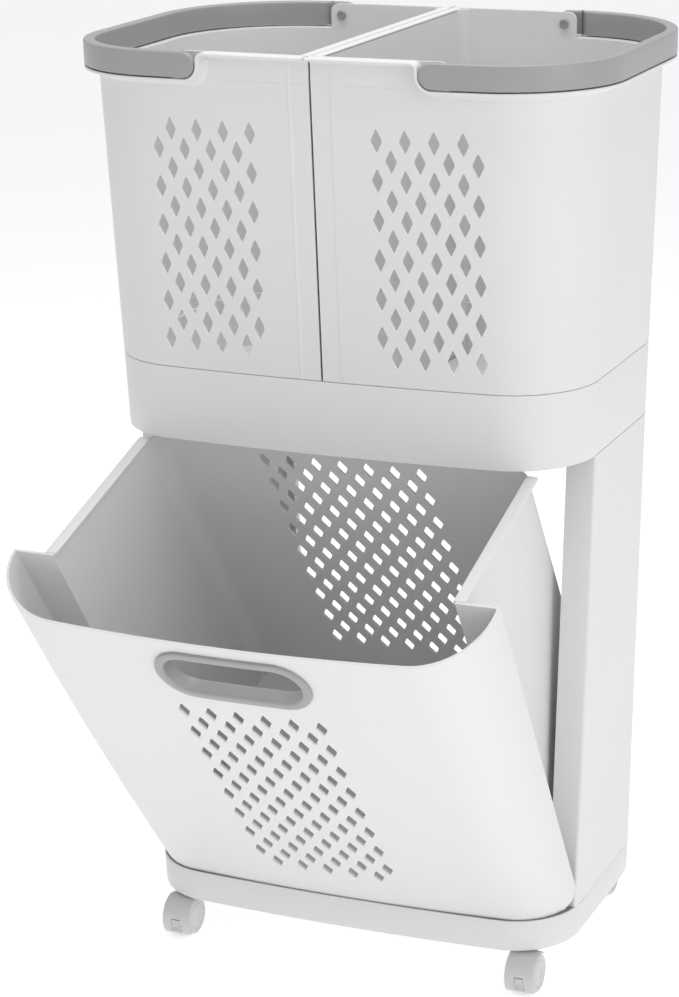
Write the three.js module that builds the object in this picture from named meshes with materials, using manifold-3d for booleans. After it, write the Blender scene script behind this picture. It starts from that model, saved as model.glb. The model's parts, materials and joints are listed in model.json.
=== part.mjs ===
// Rolling laundry cart: a wheeled base and two side posts carry an upper tray with two lift-out
// baskets, and a wide bin tilts forward out of the space below the tray.
// Millimetres, +Z up, front towards -Y. The bin is shown tilted open, as the cart stands in use.
import * as THREE from 'three';
import Module from 'manifold-3d';

const wasm = await Module();
wasm.setup();

// Carcass outline, measured at the top edge of the upper tray
const bodyWidth = 480;
const bodyDepth = 332;
const frontBow = 11.5;
const frontRadius = 82;
const rearRadius = 108;
const wall = 2.6;
const fitGap = 0.4;
const swingGap = 0.8;
const draftBase = -14.4;
const draftTrayFoot = -2.3;
const draftHandle = 9.7;

// Casters
const stemInset = 48;
const stemInsetSide = 53.4;
const stemRadius = 4;
const bossRadius = 8.6;
const bossHeight = 16.5;
const wheelRadius = 19;
const wheelWidth = 8.5;
const wheelGap = 12.4;
const axleRadius = 2;
const casterTrail = 14.3;
const hoodThickness = 2;
const hoodGap = 1;
const hoodLift = 2.5;
const tabWidth = 9;
const tabHeight = 12;

// Levels above the floor
const baseFoot = 2 * wheelRadius + hoodGap + hoodThickness + hoodLift;
const baseHeight = 33;
const postHeight = 460.5;
const trayHeight = 72;
const basketRise = 276;
const handleHeight = 23;
const baseRim = baseFoot + baseHeight;
const trayFoot = baseRim + postHeight;
const trayRim = trayFoot + trayHeight;
const handleSeat = trayRim + basketRise;
const rimTop = handleSeat + handleHeight;
const baseFloor = 3;
const ledgeDrop = 54;
const ledgeWidth = 15;
const ledgeThickness = 3;
const ledgeTop = trayRim - ledgeDrop;

// Posts
const postFaceTop = -78;
const postFaceFoot = -93;
const postFaceWidth = 29;
const postBackX = 176;
const tongueFoot = 14;
const tongueTop = ledgeDrop < trayHeight ? trayHeight - ledgeDrop - ledgeThickness - 1 : 10;

// Tilting bin
const openAngle = THREE.MathUtils.degToRad(34.7);
const binFootGap = 1.6;
const binTopGap = 2;
const pivotSetBack = 37.4 + wall;
const rimClearance = 2.2;
const footSwell = 1.4;
const earReach = 17.6;
const binDraftTop = -2.5;
const binBulge = 5;
const binCornerRadius = 78;
const tubHalfTop = 198.5;
const tubHalfFoot = 191;
const tubBackTop = 119;
const tubBackFoot = 115;
const tubCornerRadius = 20;
const binFloor = 2.6;
const earFloorRise = 38;
const lipReach = 6.5;
const lipThickness = 3;
const stepGap = 1.6;
const pinRadius = 3;
const pinClearance = 0.3;
const lugHalf = 6.5;
const lugThickness = 5.5;

// Grip hole and its bezel
const gripWidth = 150;
const gripHeight = 65;
const gripBand = 10;
const gripDepth = 11;
const gripDrop = 49.3;

// Perforations
const holeWidth = 11.6;
const holeHeight = 23.4;
const holePitch = 27;
const binRows = 16;
const binRowPitch = 17.75;
const binFirstRowDrop = 111.8;
const binBackRows = 17;
const binBackRowDrop = 89.3;
const binFrontColumns = 6;
const binBackColumns = 7;
const basketRows = 12;
const basketRowPitch = 18;
const basketFirstRowDrop = 72.4;
const basketColumns = 4;
const basketFirstColumn = 61.6;

// Baskets and handles
const basketGap = 1;
const centreLip = 12.6;
const rimLip = 13;
const lipPlate = 2.6;
const lipSlope = 5;
const pivotX = 119;
const pocketGap = 2.6;
const tabReach = 12;
const handleThick = 11;
const handleThin = 5.5;
const handleWall = 2.4;
const handlePinRadius = 4.6;
const bowSteps = 3;
const cornerSteps = 5;
const roundSteps = 12;

const plasticWhite = new THREE.MeshStandardMaterial({ color: 0xeeeeec, roughness: 0.5 });
const plasticGrey = new THREE.MeshStandardMaterial({ color: 0x8f8f8e, roughness: 0.4 });
const plasticPale = new THREE.MeshStandardMaterial({ color: 0xc9c9c7, roughness: 0.45 });
const plasticPin = new THREE.MeshStandardMaterial({ color: 0x7d7d7c, roughness: 0.4 });
const steel = new THREE.MeshStandardMaterial({ color: 0xa9abad, roughness: 0.35, metalness: 0.9 });

// ---- Solid helpers ----

// A closed solid through rings of equal point count, each ring being [x, y, z] points.
function loft(levels) {
  const flat = (ring) => ring.map(([x, y]) => new THREE.Vector2(x, y));
  const clockwise = THREE.ShapeUtils.isClockWise(flat(levels[0]));
  const rings = clockwise ? levels.map((ring) => [...ring].reverse()) : levels;
  const count = rings[0].length;
  const triangles = [];
  for (let level = 0; level < rings.length - 1; level += 1) {
    for (let i = 0; i < count; i += 1) {
      const a = level * count + i;
      const b = level * count + (i + 1) % count;
      triangles.push(a, b, b + count, a, b + count, a + count);
    }
  }
  const last = (rings.length - 1) * count;
  THREE.ShapeUtils.triangulateShape(flat(rings[0]), []).forEach(([a, b, c]) => {
    triangles.push(c, b, a, last + a, last + b, last + c);
  });
  return manifold(rings.flat().flat(), triangles);
}

function manifold(vertices, triangles) {
  const mesh = new wasm.Mesh({
    numProp: 3,
    vertProperties: new Float32Array(vertices),
    triVerts: new Uint32Array(triangles),
  });
  return new wasm.Manifold(mesh);
}

// Rings from a list of [z, outline] levels, where an outline is a list of [x, y].
function stack(levels) {
  return loft(levels.map(([z, outline]) => outline.map(([x, y]) => [x, y, z])));
}

// A box given by its lowest and highest corners.
function box([x0, y0, z0], [x1, y1, z1]) {
  const outline = [[x0, y0], [x1, y0], [x1, y1], [x0, y1]];
  return stack([[z0, outline], [z1, outline]]);
}

function circle(radius, steps = roundSteps, cx = 0, cy = 0) {
  return Array.from({ length: steps }, (_, i) => {
    const angle = (i + 0.5) * 2 * Math.PI / steps;
    return [cx + radius * Math.cos(angle), cy + radius * Math.sin(angle)];
  });
}

// A prism along X whose section is a list of [y, z].
function prismX(section, x0, x1) {
  return loft([x0, x1].map((x) => section.map(([y, z]) => [y, z, x]))).transform(axesFromYzx);
}

// A prism along Y whose section is a list of [x, z].
function prismY(section, y0, y1) {
  return loft([y0, y1].map((y) => section.map(([x, z]) => [z, x, y]))).transform(axesFromZxy);
}

// Column-major 4 x 3 matrices that turn (y, z, x) and (z, x, y) triples back to (x, y, z).
const axesFromYzx = [0, 1, 0, 0, 0, 0, 1, 0, 1, 0, 0, 0, 0, 0, 0, 1];
const axesFromZxy = [0, 0, 1, 0, 1, 0, 0, 0, 0, 1, 0, 0, 0, 0, 0, 1];

function mirrored(solid) {
  return solid.scale([-1, 1, 1]);
}

function joined(...solids) {
  return solids.reduce((sum, solid) => sum.add(solid));
}

function mesh(name, solid, material) {
  const data = solid.getMesh();
  const geometry = new THREE.BufferGeometry();
  geometry.setAttribute('position', new THREE.Float32BufferAttribute(data.vertProperties, 3));
  geometry.setIndex(Array.from(data.triVerts));
  geometry.computeVertexNormals();
  const piece = new THREE.Mesh(geometry, material);
  piece.name = name;
  return piece;
}

// ---- Carcass outline ----

// The circles of the plan outline, grown by an offset: a bowed front, round corners, a straight back.
function outlineArcs(offset, radius) {
  const half = bodyWidth / 2 + offset;
  const deep = bodyDepth / 2 + offset;
  const corner = radius + offset;
  const bowRadius = (half * half + frontBow * frontBow) / (2 * frontBow);
  const bowY = bowRadius - deep;
  const cornerY = bowY - Math.sqrt((bowRadius - corner) ** 2 - (half - corner) ** 2);
  const turn = Math.atan2(cornerY - bowY, half - corner);
  return { half, deep, corner, back: rearRadius + offset, bowRadius, bowY, cornerY, turn };
}

// The closed plan outline as [x, y] points, from the middle of the front round to the right.
function outline(offset, radius = frontRadius) {
  const { half, deep, corner, back, bowRadius, bowY, cornerY, turn } = outlineArcs(offset, radius);
  const right = [];
  for (let i = 1; i < bowSteps; i += 1) {
    const angle = -Math.PI / 2 + (turn + Math.PI / 2) * i / bowSteps;
    right.push([bowRadius * Math.cos(angle), bowY + bowRadius * Math.sin(angle)]);
  }
  for (let i = 0; i <= cornerSteps; i += 1) {
    const angle = turn * (1 - i / cornerSteps);
    right.push([half - corner + corner * Math.cos(angle), cornerY + corner * Math.sin(angle)]);
  }
  for (let i = 0; i <= cornerSteps; i += 1) {
    const angle = Math.PI / 2 * i / cornerSteps;
    right.push([half - back + back * Math.cos(angle), deep - back + back * Math.sin(angle)]);
  }
  const left = right.map(([x, y]) => [-x, y]).reverse();
  return [[0, -deep], ...right, ...left];
}

// The y of the outline's front at a distance from the centre.
function frontAt(offset, x) {
  const { half, corner, bowRadius, bowY, cornerY, turn } = outlineArcs(offset, frontRadius);
  const across = Math.min(Math.abs(x), half);
  if (across < half - corner + corner * Math.cos(turn)) {
    return bowY - Math.sqrt(bowRadius ** 2 - across ** 2);
  }
  return cornerY - Math.sqrt(Math.max(corner ** 2 - (across - half + corner) ** 2, 0));
}

// Outline offset of the straight drafted sides at a height.
function draftAt(z) {
  if (z < trayFoot) {
    return THREE.MathUtils.mapLinear(z, baseRim, trayFoot, draftBase, draftTrayFoot);
  }
  if (z < trayRim) {
    return THREE.MathUtils.mapLinear(z, trayFoot, trayRim, draftTrayFoot, 0);
  }
  return THREE.MathUtils.mapLinear(z, trayRim, handleSeat, 0, draftHandle);
}

// The y of the post's front face at a height.
function postFaceAt(z) {
  return THREE.MathUtils.mapLinear(z, baseRim, trayFoot, postFaceFoot, postFaceTop);
}

const frontY = -(bodyDepth / 2 + draftBase);
const pivotY = frontY + pivotSetBack;
const pivotRise = (pivotSetBack + footSwell
  - (pivotSetBack - rimClearance - fitGap) * Math.cos(openAngle)) / Math.sin(openAngle);
const pivotZ = baseRim + pivotRise;
const binFoot = baseRim + binFootGap;
const sweepRadius = trayFoot - binTopGap - pivotZ;

// ---- Perforations ----

// Diamond prisms through a wall between two y planes, in staggered rows from the top down.
function diamondRows({ rows, pitch, rowPitch, topZ, columnsAt, startAt, y0, y1 }) {
  const cutters = [];
  for (let row = 0; row < rows; row += 1) {
    const z = topZ - row * rowPitch;
    for (let column = 0; column < columnsAt(row); column += 1) {
      const x = startAt(row) + column * pitch;
      const section = [
        [x, z - holeHeight / 2], [x + holeWidth / 2, z],
        [x, z + holeHeight / 2], [x - holeWidth / 2, z],
      ];
      cutters.push(prismY(section, y0, y1));
    }
  }
  return wasm.Manifold.union(cutters);
}

// A lattice centred on the cart, with wide rows of a number of holes and one less between them.
function centredRows(rows, drop, wideCount, wideRow, y0, y1) {
  const columnsAt = (row) => (row % 2 === wideRow ? wideCount : wideCount - 1);
  return diamondRows({
    rows, pitch: holePitch, rowPitch: binRowPitch, topZ: trayFoot - drop,
    columnsAt, startAt: (row) => -(columnsAt(row) - 1) * holePitch / 2, y0, y1,
  });
}

// ---- Base ----

function stemPlaces() {
  const x = bodyWidth / 2 - stemInsetSide;
  const y = bodyDepth / 2 - stemInset;
  return [['front_left', -x, -y], ['front_right', x, -y], ['rear_left', -x, y], ['rear_right', x, y]];
}

// Distance of the pivot lug's inner face from the centre, beside the tub's side wall.
function lugInnerX() {
  return tubHalfAt(pivotZ) + 2;
}

function baseTray() {
  const shell = stack([
    [baseFoot, outline(draftBase - 3.4)],
    [baseFoot + 3, outline(draftBase - 1.2)],
    [baseRim, outline(draftBase)],
  ]);
  const hollow = stack([
    [baseFoot + baseFloor, outline(draftBase - 1.2 - wall)],
    [baseRim + 1, outline(draftBase - rimClearance)],
  ]);
  let solid = shell.subtract(hollow);
  stemPlaces().forEach(([, x, y]) => {
    const boss = stack([[baseFoot + 1, circle(bossRadius, roundSteps, x, y)],
      [baseFoot + bossHeight, circle(bossRadius - 0.6, roundSteps, x, y)]]);
    const bore = circle(stemRadius + pinClearance, 12, x, y);
    solid = solid.add(boss).subtract(stack([[baseFoot - 1, bore], [baseFoot + bossHeight - 2, bore]]));
  });
  const lug = pivotLug();
  const rest = box([118, 88, baseFoot + 1], [126, 116, binFoot - 0.5]);
  return joined(solid, lug, mirrored(lug), rest, mirrored(rest));
}

// An upright ear on the base floor with a bore for the bin's pivot pin.
function pivotLug() {
  const x0 = lugInnerX();
  const topArc = Array.from({ length: 9 }, (_, i) => {
    const angle = Math.PI * i / 8;
    return [pivotY + lugHalf * Math.cos(angle), pivotZ + lugHalf * Math.sin(angle)];
  });
  const section = [[pivotY - lugHalf, baseFoot + 1], [pivotY + lugHalf, baseFoot + 1], ...topArc];
  const bore = circle(pinRadius + pinClearance, 12, pivotY, pivotZ);
  return prismX(section, x0, x0 + lugThickness).subtract(prismX(bore, x0 - 1, x0 + lugThickness + 1));
}

// ---- Posts ----

// A channel along the cart's side and rear corner, with a front face and tongues at both ends.
function sidePost() {
  const shell = (z0, z1, inset) => {
    const outer = stack([[z0, outline(draftAt(z0) - inset)], [z1, outline(draftAt(z1) - inset)]]);
    const inner = stack([[z0 - 1, outline(draftAt(z0) - inset - wall)],
      [z1 + 1, outline(draftAt(z1) - inset - wall)]]);
    return outer.subtract(inner);
  };
  const slab = (z0, z1, y0, y1) => loft([[z0, y0, y1], [z1, y0, y1]].map(([z, yA, yB]) => {
    const yFront = postFaceAt(z) + yA;
    return [[postBackX, yFront, z], [300, yFront, z], [300, yB, z], [postBackX, yB, z]];
  }));
  const z0 = baseRim + fitGap;
  const z1 = trayFoot - fitGap;
  const skin = shell(z0, z1, 0).intersect(slab(z0, z1, 0, 300));
  const body = stack([[z0, outline(draftAt(z0) - 1)], [z1, outline(draftAt(z1) - 1)]]);
  const faceBand = loft([z0, z1].map((z) => {
    const x = bodyWidth / 2 + draftAt(z) - postFaceWidth;
    const y = postFaceAt(z);
    return [[x, y, z], [300, y, z], [300, y + wall, z], [x, y + wall, z]];
  }));
  const backBand = box([postBackX, 0, z0], [postBackX + wall, 300, z1]);
  const backFlange = backBand.intersect(body).subtract(
    stack([[z0 - 1, outline(draftAt(z0) - 12)], [z1 + 1, outline(draftAt(z1) - 12)]]));
  const tongue = (zA, zB) => shell(zA, zB, wall + fitGap).intersect(
    box([postBackX + 12, postFaceTop + 12, zA], [300, 300, zB]));
  const lower = tongue(baseRim - tongueFoot, baseRim + 12);
  const upper = tongue(trayFoot - 12, trayFoot + tongueTop);
  const link = (zA, zB) => shell(zA, zB, wall - 0.6).intersect(
    box([postBackX + 12, postFaceTop + 12, zA], [300, 300, zB]));
  return joined(skin, faceBand.intersect(body), backFlange, lower, upper,
    link(baseRim + 1, baseRim + 12), link(trayFoot - 12, trayFoot - 1));
}

// ---- Upper tray ----

function upperTray() {
  const shell = stack([
    [trayFoot, outline(draftTrayFoot - 0.8)],
    [trayFoot + 1.2, outline(draftTrayFoot)],
    [trayRim, outline(0)],
  ]).subtract(stack([
    [trayFoot - 1, outline(draftTrayFoot - wall)],
    [trayRim + 1, outline(-wall)],
  ]));
  const ledgeAt = (offset) => stack([
    [ledgeTop - ledgeThickness, outline(offset)], [ledgeTop, outline(offset)],
  ]);
  const ledge = ledgeAt(-wall / 2 - 1.6).subtract(
    stack([[ledgeTop - ledgeThickness - 1, outline(-wall - ledgeWidth)],
      [ledgeTop + 1, outline(-wall - ledgeWidth)]]));
  const beam = box([-16, -bodyDepth, ledgeTop - ledgeThickness], [16, bodyDepth, ledgeTop]);
  const web = box([-1.5, -bodyDepth, trayFoot + 8], [1.5, bodyDepth, ledgeTop]);
  const inside = ledgeAt(-wall / 2 - 1.6);
  const inside2 = stack([[trayFoot, outline(-wall / 2 - 3)], [ledgeTop, outline(-wall / 2 - 3)]]);
  return joined(shell, ledge, beam.intersect(inside), web.intersect(inside2));
}

// ---- Tilting bin ----

function tubHalfAt(z) {
  return THREE.MathUtils.mapLinear(z, binFoot, trayFoot, tubHalfFoot, tubHalfTop);
}

// Plan outline of the tub at a height: straight sides, round rear corners.
function tubOutline(z, inset) {
  const half = tubHalfAt(z) - inset;
  const back = THREE.MathUtils.mapLinear(z, binFoot, trayFoot, tubBackFoot, tubBackTop) - inset;
  const radius = tubCornerRadius - inset;
  const corner = Array.from({ length: 6 }, (_, i) => {
    const angle = Math.PI / 2 * i / 5;
    return [half - radius + radius * Math.cos(angle), back - radius + radius * Math.sin(angle)];
  });
  const mirror = corner.map(([x, y]) => [-x, y]).reverse();
  return [[-half, -bodyDepth], [half, -bodyDepth], ...corner, ...mirror];
}

function binDraftAt(z) {
  return THREE.MathUtils.mapLinear(z, binFoot, trayFoot, draftBase, binDraftTop);
}

// The wide front's plan outline at a height, bowed outwards between its foot and its top.
function panelOutline(z, inset) {
  const middle = (baseRim + trayFoot) / 2;
  const swell = binBulge * (1 - ((z - middle) / (postHeight / 2)) ** 2);
  return outline(binDraftAt(z) - inset, binCornerRadius).map(([x, y]) => {
    const share = THREE.MathUtils.clamp((postFaceTop - y) / 50, 0, 1);
    return [x, y - swell * share];
  });
}

const panelLevels = [0, 0.04, 0.35, 0.68, 1.02].map((t) => binFoot + t * (trayFoot - binFoot));

// The front panel's filled shape, cut level at its foot and drawn in there by footInset.
function panelSolid(inset, footRise = 0, footInset = 0) {
  return stack(panelLevels.map((z, i) => (i === 0
    ? [z + footRise, panelOutline(z, inset + footInset)]
    : [z, panelOutline(z, inset)])));
}

// The space that a turning bin may fill so that its foot always passes inside the base's rim.
function footClearance() {
  const drop = pivotRise - swingGap;
  const rimInset = draftBase - rimClearance;
  const half = bodyWidth / 2 + rimInset;
  const places = [0, 0.3, 0.5, 0.66, 0.75, 0.82, 0.88, 0.93, 0.95, 0.96, 0.97, 1];
  const xs = [...places.slice(1).map((t) => -t * half).reverse(), ...places.map((t) => t * half)];
  const stations = xs.map((x) => {
    const reach = Math.max(pivotY - frontAt(rimInset, x) - swingGap, 0);
    return [x, Math.abs(x) < half - 1 ? Math.hypot(drop, reach) : drop];
  });
  const ends = [[-bodyWidth, drop], ...stations, [bodyWidth, drop]];
  const turned = loft(ends.map(([x, radius]) => circle(radius, 48, pivotY, pivotZ)
    .map(([y, z]) => [y, z, x]))).transform(axesFromYzx);
  const slope = Math.tan(openAngle);
  const zAt = (y) => pivotZ - drop / Math.cos(openAngle) - (y - pivotY) * slope;
  const above = prismX([[-bodyWidth, zAt(-bodyWidth)], [bodyWidth, zAt(bodyWidth)],
    [bodyWidth, 2 * bodyWidth], [-bodyWidth, 2 * bodyWidth]], -bodyWidth, bodyWidth);
  return turned.add(above);
}

// What must go from the lower back corner of each ear, so that it clears the post as it swings.
function earRelief() {
  const back = prismX([[pivotY, 0], [pivotY + 40, 0], [pivotY + 40, pivotZ], [pivotY, pivotZ]],
    tubHalfTop, bodyWidth);
  return back.subtract(sweep(earReach, bodyWidth));
}

// Everything in front of the posts' face, less a gap.
function frontZone(gap, z0, z1) {
  return loft([z0, z1].map((z) => {
    const y = postFaceAt(z) - stepGap - gap;
    return [[-400, -400, z], [400, -400, z], [400, y, z], [-400, y, z]];
  }));
}

function tubSolid(inset, z0, z1) {
  return stack([[z0, tubOutline(z0, inset)], [z1, tubOutline(z1, inset)]]);
}

// The space swept by the bin's top as it turns about the pivot, with a hole of a smaller radius.
function sweep(radius, halfWidth) {
  return prismX(circle(radius, 72, pivotY, pivotZ), -halfWidth, halfWidth);
}

function sideTop(drop) {
  const front = postFaceTop - stepGap;
  const arcAt = (y) => pivotZ + Math.sqrt(sweepRadius ** 2 - (y - pivotY) ** 2);
  const slope = (arcAt(tubBackTop) - arcAt(front)) / (tubBackTop - front);
  const lineAt = (y) => arcAt(front) + slope * (y - front) - drop;
  const sides = prismX([[front, 0], [bodyDepth, 0], [bodyDepth, lineAt(bodyDepth)],
    [front, lineAt(front)]], -bodyWidth, bodyWidth);
  return sides.add(box([-bodyWidth, -2 * bodyDepth, 0], [bodyWidth, front, 2 * trayFoot]));
}

function gripOutline(grow) {
  const radius = gripHeight / 2 + grow;
  const reach = gripWidth / 2 - gripHeight / 2;
  const z = trayFoot - gripDrop;
  const arc = (centre, start) => Array.from({ length: 11 }, (_, i) => {
    const angle = start + Math.PI * i / 10;
    return [centre + radius * Math.cos(angle), z + radius * Math.sin(angle)];
  });
  return [...arc(reach, -Math.PI / 2), ...arc(-reach, Math.PI / 2)];
}

function binTub() {
  const top = trayFoot + 5;
  const low = binFoot - 5;
  const outer = panelSolid(0).intersect(
    frontZone(0, low, top).add(tubSolid(0, binFoot, top)));
  const inner = panelSolid(wall, 1, 2).intersect(joined(
    frontZone(wall, binFoot + earFloorRise + wall, top),
    tubSolid(wall, binFoot + binFloor, top)));
  const apron = panelSolid(wall, -5).intersect(frontZone(-5, low, binFoot + earFloorRise))
    .subtract(tubSolid(0, low, top));
  const lipBand = sideTop(0).subtract(sideTop(lipThickness)).intersect(sweep(sweepRadius, 400));
  const lip = lipBand.intersect(tubSolid(-lipReach, low, top)).intersect(
    box([-300, postFaceTop - wall, 300], [300, 200, top]));
  const relief = earRelief();
  let solid = outer.subtract(apron).intersect(footClearance()).subtract(relief)
    .subtract(mirrored(relief)).intersect(sweep(sweepRadius, 400)).intersect(sideTop(0)).add(lip).subtract(inner);
  const pinBore = circle(pinRadius - 0.4, 12, pivotY, pivotZ);
  const boss = circle(pinRadius + 4, 12, pivotY, pivotZ);
  const bossSolid = prismX(boss, tubHalfAt(pivotZ) - 9, tubHalfAt(pivotZ) + 0.6);
  solid = joined(solid, bossSolid, mirrored(bossSolid));
  const boreSolid = prismX(circle(pinRadius + pinClearance, 12, pivotY, pivotZ),
    tubHalfAt(pivotZ) - 7, tubHalfAt(pivotZ) + 2);
  solid = solid.subtract(boreSolid).subtract(mirrored(boreSolid));
  const wallFrontIn = frontY + 20;
  solid = solid.subtract(prismY(gripOutline(-gripBand + 2.5), -300, 0));
  solid = solid.subtract(
    centredRows(binRows, binFirstRowDrop, binFrontColumns, 0, -300, wallFrontIn));
  return solid.subtract(
    centredRows(binBackRows, binBackRowDrop, binBackColumns, 0, tubBackFoot - tubCornerRadius, 300));
}

// A stadium grommet with a face band in front of the wall and a collar through it.
function gripBezel() {
  const z = trayFoot - gripDrop;
  const face = -(bodyDepth / 2 + binDraftAt(z));
  const bulge = binBulge * (1 - ((z - (baseRim + trayFoot) / 2) / (postHeight / 2)) ** 2);
  const front = face - bulge;
  const band = prismY(gripOutline(0), front - 3, front + gripDepth);
  const neck = prismY(gripOutline(-gripBand + 2.1), front - 20, front + gripDepth);
  const opening = prismY(gripOutline(-gripBand), front - 30, front + gripDepth + 10);
  return band.subtract(panelSolid(-fitGap).subtract(neck)).subtract(opening);
}

function binPin() {
  const x0 = tubHalfAt(pivotZ) - 6.6;
  return prismX(circle(pinRadius, 12, pivotY, pivotZ), x0, lugInnerX() + lugThickness + 1.5);
}

// ---- Baskets and handles ----

function zoneX(x0, x1, z0, z1) {
  return box([x0, -400, z0], [x1, 400, z1]);
}

// The right-hand basket: walls, rolled rim near the centre and a ledge that carries the handle.
function basket() {
  const foot = ledgeTop + fitGap;
  const shoulder = trayRim + fitGap;
  const plug = wall + 0.6;
  const footOffset = draftAt(foot) - plug;
  const seat = handleSeat - fitGap;
  const outer = joined(
    stack([[foot, outline(footOffset - 1)], [foot + 2, outline(footOffset)], [shoulder + 2, outline(-plug)]]),
    stack([[shoulder, outline(0)], [seat, outline(draftHandle)]]),
    stack([[seat - 1, outline(draftHandle)], [rimTop, outline(draftHandle + 0.4)]])
      .intersect(zoneX(0, pivotX + tabReach, seat - 2, rimTop + 1)));
  const inner = stack([
    [foot + wall, outline(footOffset - wall)],
    [shoulder - 1, outline(-plug - wall)],
    [shoulder + 3, outline(-wall)],
    [seat, outline(draftHandle - wall)],
    [rimTop + 1, outline(draftHandle + 0.4 - wall)],
  ]).intersect(zoneX(basketGap + centreLip, 400, foot, rimTop + 2));
  const flangeOuter = draftHandle + rimLip;
  const ledge = stack([
    [seat - lipPlate - lipSlope, outline(draftHandle - 0.2)],
    [seat - lipPlate, outline(flangeOuter)],
    [seat, outline(flangeOuter)],
  ]).intersect(zoneX(pocketX(), 400, 0, rimTop));
  const rim = stack([
    [rimTop - lipPlate - lipSlope, outline(draftHandle - 0.2)],
    [rimTop - lipPlate, outline(flangeOuter)],
    [rimTop, outline(flangeOuter)],
  ]).intersect(zoneX(0, pocketX() + 2.4, 0, rimTop));
  const pocketEdge = stack([[seat - lipPlate, outline(flangeOuter)], [rimTop, outline(flangeOuter)]])
    .intersect(zoneX(pocketX(), pocketX() + 2.4, 0, rimTop + 1));
  let solid = joined(outer, ledge, rim, pocketEdge).intersect(zoneX(basketGap, 400, 0, rimTop + 1));
  solid = solid.subtract(inner);
  const depthIn = bodyDepth / 2 + footOffset - wall;
  const cavity = box([basketGap - 1, -depthIn, foot - 1], [basketGap + centreLip - wall, depthIn, rimTop - 3]);
  solid = solid.subtract(cavity);
  handlePinPlaces().forEach(([y0, y1]) => {
    const bore = circle(handlePinRadius - 1.2 + pinClearance, 12, pivotX, pivotRiseZ());
    solid = solid.subtract(prismY(bore, y0, y1));
  });
  const rows = (y0, y1) => diamondRows({
    rows: basketRows, pitch: holePitch, rowPitch: basketRowPitch,
    topZ: rimTop - basketFirstRowDrop, columnsAt: () => basketColumns,
    startAt: (row) => basketFirstColumn + (row % 2) * holePitch / 2, y0, y1,
  });
  return solid.subtract(rows(-400, -bodyDepth / 4)).subtract(rows(bodyDepth / 4, 400));
}

// x where the ledge starts, just past the round end of the handle's arm.
function pocketX() {
  return pivotX - handleHeight / 2 - pocketGap - 2.4;
}

function pivotRiseZ() {
  return handleSeat + handleHeight / 2;
}

// y ranges of the two handle pins, front and rear, through the basket's rim wall.
function handlePinPlaces() {
  const reach = bodyDepth / 2 + draftHandle;
  return [[-reach - 20, -reach + 16], [reach - 16, reach + 20]];
}

// A U-shaped bail that follows the basket's outer end and lies on its ledge.
function handle() {
  const outerOffset = draftHandle + rimLip + 0.4;
  const base = handleSeat;
  const top = rimTop;
  const ring = (a, b, z0, z1) => stack([[z0, outline(a)], [z1, outline(a)]])
    .subtract(stack([[z0 - 1, outline(b)], [z1 + 1, outline(b)]]));
  const reachZone = zoneX(pivotX, 400, base - 1, top + 1);
  const thickZone = zoneX(pivotX + tabReach + 4, 400, base - 1, top + 1);
  const thin = ring(outerOffset, outerOffset - handleThin, base, top);
  const thick = ring(outerOffset, outerOffset - handleThick, base, top).intersect(thickZone);
  const groove = ring(outerOffset - handleWall, outerOffset - handleThick + handleWall,
    base - 1, top - handleWall).intersect(zoneX(pivotX + tabReach + 8, 400, base - 2, top));
  const endRound = prismY(circle(handleHeight / 2, 20, pivotX, pivotRiseZ()), -400, 400);
  const arms = thin.intersect(joined(reachZone, endRound));
  let solid = arms.add(thick).subtract(groove);
  const bore = circle(handlePinRadius - 1.2 + pinClearance, 12, pivotX, pivotRiseZ());
  solid = solid.subtract(prismY(bore, -400, 400));
  return solid;
}

// A headed pin: the head bears on the basket's inner face and the shank carries the arm.
function handlePin(side) {
  const rim = bodyDepth / 2 + draftHandle;
  const shankEnd = rim + rimLip - 0.8;
  const inner = rim - wall - 1.6;
  const z = pivotRiseZ();
  const yOnBow = side < 0 ? bowDropAt(pivotX) : 0;
  const shank = prismY(circle(handlePinRadius - 1.2, 12, pivotX, z),
    side < 0 ? -shankEnd + yOnBow : inner, side < 0 ? -inner + yOnBow + 1 : shankEnd);
  const head = prismY(circle(handlePinRadius, 12, pivotX, z),
    side < 0 ? -inner + yOnBow + 1 : inner - 2, side < 0 ? -inner + yOnBow + 3 : inner);
  return joined(shank, head);
}

// How far the bowed front falls back from its middle at a distance from the centre.
function bowDropAt(x) {
  return frontBow * (x / (bodyWidth / 2)) ** 2;
}

// ---- Casters ----

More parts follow.
